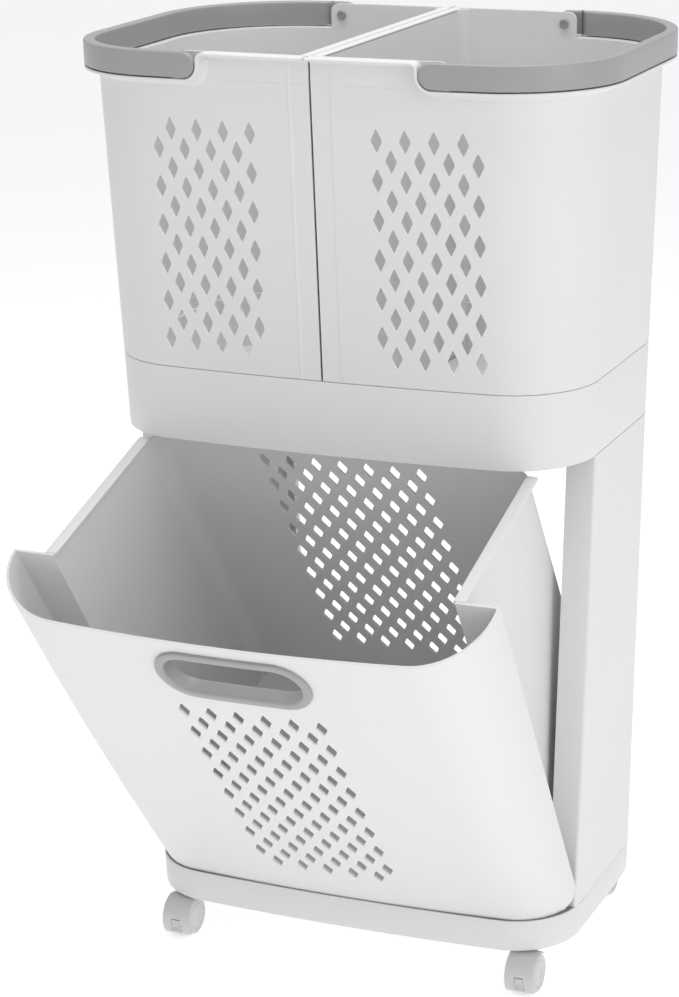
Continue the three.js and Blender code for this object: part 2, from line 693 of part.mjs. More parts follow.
// The swivelling body: a hood over the front of both wheels, a web between them, a top block.
function casterHood() {
  const inner = wheelRadius + hoodGap;
  const outer = inner + hoodThickness;
  const axleZ = wheelRadius;
  const sector = (radius, from, to, count) => Array.from({ length: count + 1 }, (_, i) => {
    const angle = from + (to - from) * i / count;
    return [-casterTrail + radius * Math.cos(angle), axleZ + radius * Math.sin(angle)];
  });
  const from = THREE.MathUtils.degToRad(58);
  const to = THREE.MathUtils.degToRad(222);
  const shellSection = [...sector(outer, from, to, 9), ...sector(inner, from, to, 9).reverse()];
  const halfWidth = wheelGap / 2 + wheelWidth + 0.4;
  const shell = prismX(shellSection, -halfWidth, halfWidth);
  const webSection = [...sector(inner + 0.5, from, to, 9), ...sector(6, to, to + 2.6, 4)];
  const webHalf = wheelGap / 2 - 0.7;
  const web = prismX(webSection, -webHalf, webHalf);
  const blockSection = [[-casterTrail, axleZ], [5.6, axleZ + 2], [7.5, baseFoot - 1.2],
    [-casterTrail, baseFoot - 1.2]];
  const block = prismX(blockSection, -webHalf, webHalf);
  const collar = stack([[axleZ + 10, circle(webHalf, 12)], [baseFoot - 0.6, circle(7.5, 12)]]);
  const axleBore = prismX(circle(axleRadius + pinClearance, 12, -casterTrail, axleZ), -30, 30);
  const stemBore = stack([[axleZ + 12, circle(stemRadius + pinClearance, 12)],
    [baseFoot + 1, circle(stemRadius + pinClearance, 12)]]);
  const clear = wheelClearance();
  return joined(shell, web, block, collar).subtract(clear).subtract(mirrored(clear))
    .subtract(axleBore).subtract(stemBore);
}

// The room that a turning wheel needs beside the web.
function wheelClearance() {
  const ring = circle(wheelRadius + hoodGap - 0.3, 20, -casterTrail, wheelRadius);
  return prismX(ring, wheelGap / 2 - 0.5, wheelGap / 2 + wheelWidth + 0.2);
}

function casterStem() {
  return stack([[wheelRadius + 12.4, circle(stemRadius, 12)],
    [baseFoot + bossHeight - 2.6, circle(stemRadius, 12)]]);
}

function casterWheel() {
  const profile = [
    [axleRadius + pinClearance, 0], [wheelRadius - 1.2, 0], [wheelRadius, 1.2],
    [wheelRadius, wheelWidth - 1.6], [wheelRadius - 1.6, wheelWidth], [axleRadius + pinClearance, wheelWidth],
  ];
  const rings = profile.map(([radius, x]) => circle(radius, 18).map(([a, b]) => [a, b, x]));
  return ringLoft(rings).transform(axesFromYzx);
}

// A closed ring solid: the loop of rings joins its last ring to its first.
function ringLoft(rings) {
  const count = rings[0].length;
  const triangles = [];
  rings.forEach((_, level) => {
    for (let i = 0; i < count; i += 1) {
      const next = (level + 1) % rings.length;
      const a = level * count + i;
      const b = level * count + (i + 1) % count;
      const c = next * count + i;
      const d = next * count + (i + 1) % count;
      triangles.push(a, b, d, a, d, c);
    }
  });
  return manifold(rings.flat().flat(), triangles);
}

function brakeWindow(grow) {
  const z = wheelRadius - 4;
  const y = -casterTrail - wheelRadius - hoodGap - hoodThickness;
  return box([-tabWidth / 2 - grow, y - 4, z - tabHeight / 2 - grow],
    [tabWidth / 2 + grow, y + 5, z + tabHeight / 2 + grow]);
}

// The foot-brake tab in the hood's window, hinged along its top edge.
function brakeTab() {
  const z = wheelRadius - 4;
  const y = -casterTrail - wheelRadius - hoodGap - hoodThickness;
  const half = tabHeight / 2;
  const section = [[y - 1.6, z - half], [y + 1.8, z - half], [y + 2.8, z + half], [y + 0.6, z + half]];
  return prismX(section, -tabWidth / 2, tabWidth / 2);
}

// ---- Assembly ----

const cart = new THREE.Group();
const carcass = new THREE.Group();
cart.add(carcass);
const post = sidePost();
carcass.add(mesh('base_tray', baseTray(), plasticWhite));
carcass.add(mesh('side_post_right', post, plasticWhite));
carcass.add(mesh('side_post_left', mirrored(post), plasticWhite));
carcass.add(mesh('upper_tray', upperTray(), plasticWhite));

const pin = binPin();
carcass.add(mesh('bin_pivot_pin_right', pin, steel));
carcass.add(mesh('bin_pivot_pin_left', mirrored(pin), steel));
const bin = new THREE.Group();
bin.position.set(0, pivotY, pivotZ);
bin.rotation.x = openAngle;
carcass.add(bin);
const closed = new THREE.Group();
closed.position.set(0, -pivotY, -pivotZ);
bin.add(closed);
closed.add(mesh('bin_tub', binTub(), plasticWhite));
closed.add(mesh('bin_grip_bezel', gripBezel(), plasticGrey));

const basketSolid = basket();
const handleSolid = handle();
[['right', (solid) => solid], ['left', mirrored]].forEach(([side, place]) => {
  carcass.add(mesh(`basket_${side}`, place(basketSolid), plasticWhite));
  carcass.add(mesh(`handle_${side}`, place(handleSolid), plasticGrey));
  carcass.add(mesh(`handle_pin_${side}_front`, place(handlePin(-1)), plasticPin));
  carcass.add(mesh(`handle_pin_${side}_rear`, place(handlePin(1)), plasticPin));
});

stemPlaces().forEach(([place, x, y]) => {
  const caster = new THREE.Group();
  caster.position.set(x, y, 0);
  carcass.add(caster);
  const braked = place.startsWith('front');
  const hood = braked ? casterHood().subtract(brakeWindow(0.7)) : casterHood();
  caster.add(mesh(`caster_${place}_hood`, hood, plasticPale));
  caster.add(mesh(`caster_${place}_stem`, casterStem(), steel));
  const axleHalf = wheelGap / 2 + wheelWidth - 1.6;
  const axle = prismX(circle(axleRadius, 12, -casterTrail, wheelRadius), -axleHalf, axleHalf);
  caster.add(mesh(`caster_${place}_axle`, axle, steel));
  [['right', 1], ['left', -1]].forEach(([side, sign]) => {
    const wheel = mesh(`caster_${place}_wheel_${side}`,
      sign > 0 ? casterWheel() : mirrored(casterWheel()), plasticPale);
    wheel.position.set(sign * wheelGap / 2, -casterTrail, wheelRadius);
    caster.add(wheel);
  });
  if (braked) {
    caster.add(mesh(`caster_${place}_brake_tab`, brakeTab(), plasticPale));
  }
});

// The origin lies on the floor under the middle of the whole cart's box.
cart.updateMatrixWorld(true);
const extent = new THREE.Box3().setFromObject(cart, true);
carcass.position.y = -(extent.min.y + extent.max.y) / 2;
cart.updateMatrixWorld(true);

export default cart;
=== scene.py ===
import bpy
import json
import math
import numpy as np
from mathutils import Matrix, Vector


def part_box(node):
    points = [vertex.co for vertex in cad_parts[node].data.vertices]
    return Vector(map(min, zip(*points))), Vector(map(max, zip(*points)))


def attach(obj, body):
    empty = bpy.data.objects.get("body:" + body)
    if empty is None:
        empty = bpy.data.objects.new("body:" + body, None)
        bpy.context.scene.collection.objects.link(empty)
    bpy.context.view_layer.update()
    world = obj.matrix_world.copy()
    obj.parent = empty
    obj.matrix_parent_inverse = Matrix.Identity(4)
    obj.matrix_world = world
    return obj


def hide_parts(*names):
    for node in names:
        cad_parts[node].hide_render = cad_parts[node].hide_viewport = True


# Laundry cart: wheeled base, two side posts, upper tray with two lift-out baskets, tilting bin.
# Every shape is worked out in millimetres about the cart's own middle and moved onto the frame at the end.
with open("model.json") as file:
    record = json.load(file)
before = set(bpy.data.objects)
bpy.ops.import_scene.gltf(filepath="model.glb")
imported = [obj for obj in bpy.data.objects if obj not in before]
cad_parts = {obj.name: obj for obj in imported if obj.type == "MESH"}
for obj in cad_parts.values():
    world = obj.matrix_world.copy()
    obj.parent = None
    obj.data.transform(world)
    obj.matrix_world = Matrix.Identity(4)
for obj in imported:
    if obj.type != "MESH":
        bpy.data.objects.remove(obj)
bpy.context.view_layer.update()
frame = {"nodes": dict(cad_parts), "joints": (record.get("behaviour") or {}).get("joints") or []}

trayLow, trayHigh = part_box("upper_tray")
tiltJoint = next(j for j in frame["joints"] if j["name"] == "bin_tilt")

body = {
    "width": (trayHigh.x - trayLow.x) * 1000,
    "depth": (trayHigh.y - trayLow.y) * 1000,
    "bow": 11.5,             # how far the front swells forward at its middle
    "frontRadius": 82,
    "rearRadius": 108,
    "wall": 2.6,
    "baseFoot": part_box("base_tray")[0].z * 1000,
    "baseRim": 76.5,
    "trayFoot": trayLow.z * 1000,
    "trayRim": trayHigh.z * 1000,
    "top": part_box("basket_right")[1].z * 1000,
    "handleHeight": 23,
    "draftBase": -14.4,      # offsets of the sloping sides from the tray's top outline
    "draftTray": -2.3,
    "draftHandle": 9.7,
}
shiftY = (trayLow.y + trayHigh.y) * 500
pivotY = tiltJoint["pos_m"][1] * 1000 - shiftY
pivotZ = tiltJoint["pos_m"][2] * 1000
openAngle = -math.radians(tiltJoint["range_deg"][0])
seatZ = body["top"] - body["handleHeight"]


# Carries a value from one range to another.
def mapRange(value, low, high, first, last):
    return first + (np.asarray(value, float) - low) / (high - low) * (last - first)


planSteps = 240      # points on each arc of a plan outline


# Half of the plan outline by its arc length from the middle of the front: a shallow arc, a corner
# arc, a straight side, a rear corner arc and the straight back, with the outward normal at each point.
def makePlan(cornerRadius):
    rearRadius, steps = body["rearRadius"], planSteps
    half, deep = body["width"] / 2, body["depth"] / 2
    bowRadius = (half ** 2 + body["bow"] ** 2) / (2 * body["bow"])
    bowY = bowRadius - deep
    cornerY = bowY - math.sqrt((bowRadius - cornerRadius) ** 2 - (half - cornerRadius) ** 2)
    turn = math.atan2(cornerY - bowY, half - cornerRadius)
    bowAngle = np.linspace(-math.pi / 2, turn, steps)
    cornerAngle = np.linspace(turn, 0, steps)
    rearAngle = np.linspace(0, math.pi / 2, steps)
    angle = np.concatenate([bowAngle, cornerAngle, rearAngle, [math.pi / 2]])
    x = np.concatenate([bowRadius * np.cos(bowAngle),
                        half - cornerRadius + cornerRadius * np.cos(cornerAngle),
                        half - rearRadius + rearRadius * np.cos(rearAngle), [0]])
    y = np.concatenate([bowY + bowRadius * np.sin(bowAngle),
                        cornerY + cornerRadius * np.sin(cornerAngle),
                        deep - rearRadius + rearRadius * np.sin(rearAngle), [deep]])
    s = np.concatenate([[0], np.cumsum(np.hypot(np.diff(x), np.diff(y)))])
    return {"s": s, "x": x, "y": y, "angle": angle, "length": s[-1]}


# A point of the plan at arc length s (negative on the left half), pushed out along its normal.
def planAt(plan, s, offset):
    s = np.asarray(s, float)
    side = np.where(s < 0, -1.0, 1.0)
    far = np.abs(s)
    x = np.interp(far, plan["s"], plan["x"])
    y = np.interp(far, plan["s"], plan["y"])
    angle = np.interp(far, plan["s"], plan["angle"])
    return side * (x + offset * np.cos(angle)), y + offset * np.sin(angle)


mainPlan = makePlan(body["frontRadius"])
panelPlan = makePlan(76)
planEnds = [planSteps - 1, 2 * planSteps - 1, 2 * planSteps, 3 * planSteps - 1]
bowEnd, cornerEnd, rearStart, rearEnd = mainPlan["s"][planEnds]      # where each arc of the outline ends


# Evenly spaced values from each mark up to the next, with a count for each stretch.
def runThrough(marks, counts):
    return np.concatenate([np.linspace(a, b, n, endpoint=False) for a, b, n in zip(marks, marks[1:], counts)])


# Arc lengths all round the right half, closer together on the round corners.
def halfStations():
    straight, corner = 8, 14
    marks = [0, bowEnd, cornerEnd, rearStart, rearEnd, mainPlan["length"]]
    counts = [straight, corner, 4, corner, straight // 2 + 1]
    return np.append(runThrough(marks, counts), marks[-1])


def fullStations():
    right = halfStations()
    return np.concatenate([right, -right[-2:0:-1]])


# How far the carcass and basket walls stand out from the tray's top outline at a height.
def draftAt(z):
    marks = [body["baseRim"], body["trayFoot"], body["trayRim"], seatZ]
    return np.interp(z, marks, [body["draftBase"], body["draftTray"], 0, body["draftHandle"]])


# A quadratic curve from start to stop that leaves and arrives towards the corner.
def bend(start, corner, stop, t):
    return (1 - t) ** 2 * start + 2 * t * (1 - t) * corner + t ** 2 * stop


# Replaces each corner of a polygon by a small curve between points set back by radius.
def roundCorners(points, radius, steps=3):
    points = np.asarray(points, float)
    radius = np.broadcast_to(radius, len(points))
    before, after = np.roll(points, 1, 0) - points, np.roll(points, -1, 0) - points
    longBefore = np.linalg.norm(before, axis=1, keepdims=True)
    longAfter = np.linalg.norm(after, axis=1, keepdims=True)
    back = np.minimum(radius[:, None], np.minimum(longBefore, longAfter) * 0.48)
    start, stop = points + before / longBefore * back, points + after / longAfter * back
    t = np.linspace(0, 1, steps + 1)[None, :, None]
    return bend(start[:, None], points[:, None], stop[:, None], t).reshape(-1, 2)


# Quads of a grid of rows by columns, wrapped round where asked.
def gridFaces(rows, columns, wrapRows=False, wrapColumns=False):
    r = np.arange(rows if wrapRows else rows - 1)[:, None]
    c = np.arange(columns if wrapColumns else columns - 1)[None, :]
    r2, c2 = (r + 1) % rows, (c + 1) % columns
    quads = np.stack([r * columns + c, r * columns + c2, r2 * columns + c2, r2 * columns + c], -1)
    return quads.reshape(-1, 4)


# A tube of closed rows, with a flat cap on its first and last row.
def tubeFaces(rows, columns):
    first = (rows - 1) * columns
    caps = [list(range(columns))[::-1], list(range(first, first + columns))]
    return gridFaces(rows, columns, wrapColumns=True).tolist() + caps


# Turns points about the bin's pivot, from where the bin is shut to where it stands open.
def tilted(points):
    y, z = points[..., 1] - pivotY, points[..., 2] - pivotZ
    c, s = math.cos(openAngle), math.sin(openAngle)
    return np.stack([points[..., 0], pivotY + y * c - z * s, pivotZ + y * s + z * c], -1)


# One finished piece: its faces keep only the points they use, and its place goes into the mesh.
def addPiece(name, points, faces, bodyName, finish="white_plastic", replaces=(), tilt=False, sharp=35,
             flip=False):
    points = np.asarray(points, float).reshape(-1, 3)
    if tilt:
        points = tilted(points)
    used = np.unique(np.concatenate(faces))
    place = np.full(len(points), -1)
    place[used] = np.arange(len(used))
    faces = [[int(place[i]) for i in (f[::-1] if flip else f)] for f in faces]
    points = points[used] + [0, shiftY, 0]
    mesh = bpy.data.meshes.new(name)
    mesh.from_pydata((points / 1000).tolist(), [], faces)
    mesh.update()
    mesh.shade_smooth()
    mesh.set_sharp_from_angle(angle=math.radians(sharp))
    piece = bpy.data.objects.new(name, mesh)
    bpy.context.scene.collection.objects.link(piece)
    mesh.materials.append(finishes[finish])
    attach(piece, bodyName)
    if replaces:
        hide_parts(*replaces)
    return piece


# A sheet gets its wall inwards, and then its edges are rounded.
def thicken(piece, thickness, bevel=0.5, offset=-1):
    wall = piece.modifiers.new("wall", "SOLIDIFY")
    wall.thickness = thickness / 1000
    wall.offset = offset
    wall.use_even_offset = True
    wall.use_quality_normals = True
    soften(piece, bevel)


def soften(piece, bevel, segments=2):
    edge = piece.modifiers.new("edge", "BEVEL")
    edge.width = bevel / 1000
    edge.segments = segments
    edge.limit_method = "ANGLE"
    edge.angle_limit = math.radians(38)
    edge.harden_normals = True


# A section of (offset, height) points carried all round the plan outline: a closed ring, or where pan
# is set an open section from a middle point round a rim to another middle point, with flat caps.
def ringPiece(name, section, *args, pan=False, **more):
    section, stations = np.asarray(section), fullStations()
    x, y = planAt(mainPlan, stations[None, :], section[:, :1])
    z = np.broadcast_to(section[:, 1:], x.shape)
    faces = tubeFaces(*x.shape) if pan else gridFaces(*x.shape, wrapRows=True, wrapColumns=True)
    return addPiece(name, np.stack([x, y, z], -1), faces, *args, **more)


# A flat outline of (y, z) points drawn out along x between two planes.
def slabPiece(name, outline, across, *args, **more):
    n = len(outline)
    grid = np.stack([np.concatenate([np.full((n, 1), x), outline], 1) for x in across])
    return addPiece(name, grid, tubeFaces(2, n), *args, **more)


# A flat floor: a plan outline of (x, y) points drawn out between two heights.
def floorPiece(name, outline, levels, sign, *args, **more):
    n = len(outline)
    grid = np.stack([np.concatenate([outline, np.full((n, 1), z)], 1) for z in levels]) * [sign, 1, 1]
    return addPiece(name, grid, tubeFaces(2, n), *args, flip=sign < 0, **more)


# A profile of (radius, along) points turned about an axis through centre: x, y or z.
def turned(name, profile, centre, axis, *args, steps=40, **more):
    profile = np.asarray(profile, float)
    angle = np.linspace(0, 2 * math.pi, steps, endpoint=False)[None, :]
    a, b = profile[:, :1] * np.cos(angle), profile[:, :1] * np.sin(angle)
    along = np.broadcast_to(profile[:, 1:], a.shape)
    order = {"x": (along, a, b), "y": (b, along, a), "z": (a, b, along)}[axis]
    points = np.stack(order, -1) + np.asarray(centre, float)
    return addPiece(name, points, tubeFaces(*a.shape), *args, **more)


# A skin of rows by columns whose window is split into diamond cells, some of them open.
# Inside the window each diamond is centred where row + column is odd; open cells get a hole whose
# half width and half height are fractions of one column and one row.
def latticeFaces(points, windows, wrapColumns=False):
    rows, columns = points.shape[:2]
    closed = np.zeros((rows, columns), bool)
    for w in windows:
        closed[w["row"]:w["row"] + w["rows"], w["column"]:w["column"] + w["columns"]] = True
    quads = gridFaces(rows, columns, wrapColumns=wrapColumns)
    corner = quads[:, 0]
    quads = quads[~closed[corner // columns, corner % columns]]
    faces = quads.tolist()
    extra, start = [], rows * columns
    for w in windows:
        r0, c0, r1, c1 = w["row"], w["column"], w["row"] + w["rows"], w["column"] + w["columns"]
        loop = roundCorners([[w["wide"], 0], [0, w["high"]], [-w["wide"], 0], [0, -w["high"]]],
                            [0.10, 0.12, 0.10, 0.12], 2)
        for r in range(r0, r1 + 1):
            for c in range(c0, c1 + 1):
                if (r - r0 + c - c0 + w["odd"]) % 2 == 0:
                    continue
                around = [(r, c + 1), (r + 1, c), (r, c - 1), (r - 1, c)]
                inside = [(a, b) for a, b in around if r0 <= a <= r1 and c0 <= b <= c1]
                if w["open"](r - r0, c - c0):
                    at = [(r, c, dc, dr) for dc, dr in loop]
                    extra += at
                    ring = [start + len(extra) - 12 + i for i in range(12)]
                    for k in range(4):
                        a, b = around[k], around[(k + 1) % 4]
                        inner = [ring[(3 * k + 4 - i) % 12] for i in range(4)]
                        faces.append([a[0] * columns + a[1], b[0] * columns + b[1]] + inner)
                    continue
                ids = [a * columns + b for a, b in inside]
                if len(ids) == 3:
                    missing = [i for i, p in enumerate(around) if p not in inside][0]
                    ids.insert(missing, r * columns + c)
                elif len(ids) == 2:
                    gaps = [i for i, p in enumerate(around) if p not in inside]
                    ids.insert(gaps[0] if gaps != [0, 3] else 0, r * columns + c)
                faces.append(ids)
    extra = np.array(extra).reshape(-1, 4)
    return faces, extra


# A hole's half width and half height as shares of one column and one row.
def holeShare(size):
    return {"wide": size["holeWide"] / 2 / size["columnHalf"],
            "high": size["holeHigh"] / 2 / size["rowPitch"]}


# The place of a fractional row and column on a skin: the bilinear mean of its four neighbours.
def skinAt(points, extra):
    r, c = extra[:, 0] + extra[:, 3], extra[:, 1] + extra[:, 2]
    r0, c0 = np.floor(r).astype(int), np.floor(c).astype(int)
    a, b = (r - r0)[:, None], (c - c0)[:, None]
    low = points[r0, c0] * (1 - b) + points[r0, c0 + 1] * b
    high = points[r0 + 1, c0] * (1 - b) + points[r0 + 1, c0 + 1] * b
    return low * (1 - a) + high * a


# Sets a node's inputs from a dictionary of socket names.
def dial(node, values):
    for socket, value in values.items():
        node.inputs[socket].default_value = value


# Moulded plastic: one base colour with faint cloudy variation, a fine grain in the roughness and
# a very low bump, both from noise on object coordinates.
def plastic(name, colour, look):
    material = bpy.data.materials.new(name)
    material.use_nodes = True
    nodes, links = material.node_tree.nodes, material.node_tree.links
    shader = nodes["Principled BSDF"]
    shader.inputs["Specular IOR Level"].default_value = look["specular"]
    where = nodes.new("ShaderNodeTexCoord")
    cloud = nodes.new("ShaderNodeTexNoise")
    dial(cloud, {"Scale": look["cloudScale"], "Detail": 3})
    grain = nodes.new("ShaderNodeTexNoise")
    dial(grain, {"Scale": look["grainScale"], "Detail": 4})
    tint = nodes.new("ShaderNodeMix")
    tint.data_type = "RGBA"
    dim = [c * look["dim"] for c in colour]
    dial(tint, {"A": (*dim, 1), "B": (*colour, 1)})
    rough = nodes.new("ShaderNodeMapRange")
    dial(rough, {"From Min": 0.3, "From Max": 0.7, "To Min": look["rough"][0], "To Max": look["rough"][1]})
    bump = nodes.new("ShaderNodeBump")
    dial(bump, {"Strength": look["bump"], "Distance": 0.0002})
    links.new(where.outputs["Object"], cloud.inputs["Vector"])
    links.new(where.outputs["Object"], grain.inputs["Vector"])
    links.new(cloud.outputs["Fac"], tint.inputs["Factor"])
    links.new(tint.outputs["Result"], shader.inputs["Base Color"])
    links.new(grain.outputs["Fac"], rough.inputs["Value"])
    links.new(rough.outputs["Result"], shader.inputs["Roughness"])
    links.new(grain.outputs["Fac"], bump.inputs["Height"])
    links.new(bump.outputs["Normal"], shader.inputs["Normal"])
    return material


# Bright steel whose roughness varies in fine noise.
def turnedSteel(name):
    material = bpy.data.materials.new(name)
    material.use_nodes = True
    nodes, links = material.node_tree.nodes, material.node_tree.links
    shader = nodes["Principled BSDF"]
    dial(shader, {"Metallic": 1, "Base Color": (0.55, 0.56, 0.57, 1)})
    where = nodes.new("ShaderNodeTexCoord")
    lines = nodes.new("ShaderNodeTexNoise")
    lines.inputs["Scale"].default_value = 900
    rough = nodes.new("ShaderNodeMapRange")
    dial(rough, {"To Min": 0.22, "To Max": 0.42})
    links.new(where.outputs["Object"], lines.inputs["Vector"])
    links.new(lines.outputs["Fac"], rough.inputs["Value"])
    links.new(rough.outputs["Result"], shader.inputs["Roughness"])
    return material


whiteLook = {"specular": 0.42, "cloudScale": 9, "grainScale": 1400, "dim": 0.985,
             "rough": (0.42, 0.52), "bump": 0.10}
greyLook = {"specular": 0.5, "cloudScale": 14, "grainScale": 1800, "dim": 0.96,
            "rough": (0.30, 0.40), "bump": 0.12}
casterLook = {"specular": 0.5, "cloudScale": 30, "grainScale": 2000, "dim": 0.95,
              "rough": (0.34, 0.46), "bump": 0.12}
finishes = {
    "white_plastic": plastic("whiteMoulding", (0.72, 0.72, 0.72), whiteLook),
    "grey_plastic": plastic("greyGrip", (0.33, 0.33, 0.33), greyLook),
    "pale_plastic": plastic("casterMoulding", (0.62, 0.62, 0.62), casterLook),
    "pin_plastic": plastic("pinMoulding", (0.30, 0.30, 0.30), greyLook),
}
steel = turnedSteel("turnedSteel")
print("materials ready")

wall, baseFoot, baseRim = body["wall"], body["baseFoot"], body["baseRim"]
trayFoot, trayRim, top = body["trayFoot"], body["trayRim"], body["top"]
sides = (("Right", 1), ("Left", -1))


# The base: a pan with a rounded foot and rim, two lugs for the pivot, a boss over each caster's stem
# and two blocks that the shut bin rests on.
def makeBase():
    size = {"floor": 3, "rimWall": 2.2, "middle": 60}
    lugs = {"half": 6.5, "thick": 5.5, "gap": 2, "root": 2}
    rest = {"near": 118, "far": 126, "front": 88, "back": 116, "above": 1.1}
    foot, rim, d = baseFoot, baseRim, body["draftBase"]
    inner = d - size["rimWall"]
    section = [(-size["middle"], foot), (d - 4.6, foot), (d - 2.6, foot + 0.35), (d - 1.3, foot + 1.4),
               (d - 0.9, foot + 3.4), (d, rim - 0.7), (d - 0.2, rim - 0.2), (d - 0.7, rim),
               (inner + 0.5, rim), (inner, rim - 0.6), (inner - 1, foot + 8), (inner - 2.4, foot + 4.6),
               (inner - 5, foot + 3.2), (-size["middle"], foot + size["floor"])]
    ringPiece("baseTray", section, "carcass", pan=True, replaces=["base_tray"])
    side = tubHalf(pivotZ) + lugs["gap"]
    arc = np.linspace(0, math.pi, 15)
    root = foot + lugs["root"] - pivotZ
    outline = np.concatenate([[[-lugs["half"], root], [lugs["half"], root]],
                              lugs["half"] * np.stack([np.cos(arc), np.sin(arc)], -1)])
    for name, sign in sides:
        lug = slabPiece("pivotLug" + name, outline + [pivotY, pivotZ],
                        np.array([side, side + lugs["thick"]]) * sign, "carcass",
                        flip=sign < 0)
        soften(lug, 0.8)
    for index, (x, y) in enumerate(stemPlaces().values()):
        profile = [(11, 1), (9, 3), (8.4, 19.2), (7.6, 20), (4.3, 20), (4.3, 18.2)]
        turned(f"stemBoss{index}", profile, (x, y, foot), "z", "carcass")
    for name, sign in sides:
        low, high = sorted((rest["near"] * sign, rest["far"] * sign))
        boxPiece("restBlock" + name, (low, rest["front"], foot + 2),
                 (high, rest["back"], rim + rest["above"]), 0.8)


# A block with softened edges.
def boxPiece(name, low, high, bevel, bodyName="carcass"):
    lo, hi = np.array(low, float), np.array(high, float)
    pick = np.array([[0, 0, 0], [1, 0, 0], [1, 1, 0], [0, 1, 0], [0, 0, 1], [1, 0, 1], [1, 1, 1], [0, 1, 1]])
    faces = [(3, 2, 1, 0), (4, 5, 6, 7), (0, 1, 5, 4), (1, 2, 6, 5), (2, 3, 7, 6), (3, 0, 4, 7)]
    piece = addPiece(name, lo + pick * (hi - lo), faces, bodyName)
    soften(piece, bevel, 3)
    return piece


# Where each caster's stem stands.
def stemPlaces():
    places = {}
    for place in ("front_left", "front_right", "rear_left", "rear_right"):
        low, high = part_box(f"caster_{place}_stem")
        places[place] = ((low.x + high.x) * 500, (low.y + high.y) * 500 - shiftY)
    return places


postFace = {"foot": -93, "top": -78}


def postFaceY(z):
    return mapRange(z, baseRim, trayFoot, postFace["foot"], postFace["top"])


# The arc length where the plan, pushed out by an offset, crosses a given y on its side.
def stationAtY(plan, y, offset):
    s = plan["s"][200:]
    found = np.interp(s, plan["s"], plan["y"]) + offset * np.sin(np.interp(s, plan["s"], plan["angle"]))
    return np.interp(y, found, s)


# A post's skin: from the flange's free edge along its front face, round a small radius, back along
# the cart's side and rear corner, and in along the rear return; each height has its own draft.
def makePosts():
    size = {"faceWide": 29, "edge": 3.2, "backX": 176, "returnDeep": 12, "seam": 0.35}
    rear = slice(2 * planSteps, 3 * planSteps)
    z = np.linspace(baseRim + size["seam"], trayFoot - size["seam"], 14)
    rows = []
    for level in z:
        d, y = draftAt(level), postFaceY(level)
        start = stationAtY(mainPlan, y, d)
        cornerX = planAt(mainPlan, start, d)[0]
        faceX = np.linspace(body["width"] / 2 + d - size["faceWide"], cornerX - size["edge"], 4)
        face = np.stack([faceX, np.full(4, y)], -1)
        a, b = np.array([cornerX - size["edge"], y]), np.array(planAt(mainPlan, start + size["edge"], d))
        edge = bend(a, np.array([cornerX, y]), b, np.linspace(0, 1, 6)[1:-1, None])
        end = np.interp(-size["backX"], -mainPlan["x"][rear], mainPlan["s"][rear])
        run = np.concatenate([np.linspace(start + size["edge"], rearStart, 6, endpoint=False),
                              np.linspace(rearStart, end, 14)])
        side = np.stack(planAt(mainPlan, run, d), -1)
        inward = np.stack([np.full(2, side[-1, 0] - 1), side[-1, 1] - [6, size["returnDeep"]]], -1)
        rows.append(np.concatenate([face, edge, side, inward]))
    plan = np.array(rows)
    points = np.concatenate([plan, np.broadcast_to(z[:, None, None], (*plan.shape[:2], 1))], -1)
    for name, sign in sides:
        post = addPiece("sidePost" + name, points * [sign, 1, 1], gridFaces(*plan.shape[:2]), "carcass",
                        replaces=["side_post_" + name.lower()], flip=sign < 0, sharp=50)
        thicken(post, wall, 0.5)


ledgeDrop = 54        # from the tray's rim down to the ledge that the baskets stand on


# The upper tray: a band with a ledge inside it and a T-shaped beam across its middle.
def makeUpperTray():
    size = {"ledge": 15, "ledgeThick": 3, "round": 1.1, "beamHalf": 16, "ribHalf": 1.5, "ribLift": 8}
    ledge = trayRim - ledgeDrop
    t = body["draftTray"]
    at = draftAt(ledge)
    section = [(t - wall, trayFoot), (t, trayFoot), (0, trayRim), (-wall, trayRim), (at - wall, ledge),
               (at - wall - size["ledge"], ledge), (at - wall - size["ledge"], ledge - size["ledgeThick"]),
               (at - wall, ledge - size["ledgeThick"])]
    section = roundCorners(section, [0.5, size["round"], 0.6, 0.5, 1.5, 0.8, 0.8, 1.5])
    ringPiece("upperTray", section, "carcass", replaces=["upper_tray"])
    deep, beam, rib = body["depth"] / 2 - wall - 2, size["beamHalf"], size["ribHalf"]
    boxPiece("trayBeam", (-beam, -deep, ledge - size["ledgeThick"]), (beam, deep, ledge), 0.8)
    boxPiece("trayBeamRib", (-rib, -deep, trayFoot + size["ribLift"]), (rib, deep, ledge - 2.5), 0.6)


# The tilting bin is worked out shut and then turned about its pivot.
tilt = {
    "foot": baseRim + 1.6,
    "sweep": trayFoot - 2 - pivotZ,     # radius of the top edge about the pivot
    "draftTop": -6.8, "flare": 4.1,     # offset of the front's top, and how much wider its sides stand
    "bulge": 5,
    "halfFoot": 191, "halfTop": 198.5,
    "backFoot": 115, "backTop": 119,
    "rearCorner": 20,
    "stepGap": 1.6,
    "earFloor": 38,
    "lip": 6.5, "lipInside": 4.6, "lipThick": 3.2,
    "columnHalf": 13.5, "rowPitch": 17.75, "holeRows": 16,
    "frontFirstRow": trayFoot - 111.8, "backFirstRow": trayFoot - 107.05,
    "holeWide": 11.4, "holeHigh": 23,
    "swingGap": 0.8, "earReach": 17.6,
    "floorInset": 0.993, "floorLift": 0.1, "floorThick": 2.6, "pocketInset": 1.3,
}
grip = {"z": trayFoot - 49.3, "wide": 150, "high": 65, "band": 10, "collar": 11, "proud": 3,
        "holeSpare": 3.2}


# Half the tub's width, and where its back wall stands, at a height.
def tubHalf(z):
    return mapRange(z, tilt["foot"], trayFoot, tilt["halfFoot"], tilt["halfTop"])


def tubBack(z):
    return mapRange(z, tilt["foot"], trayFoot, tilt["backFoot"], tilt["backTop"])


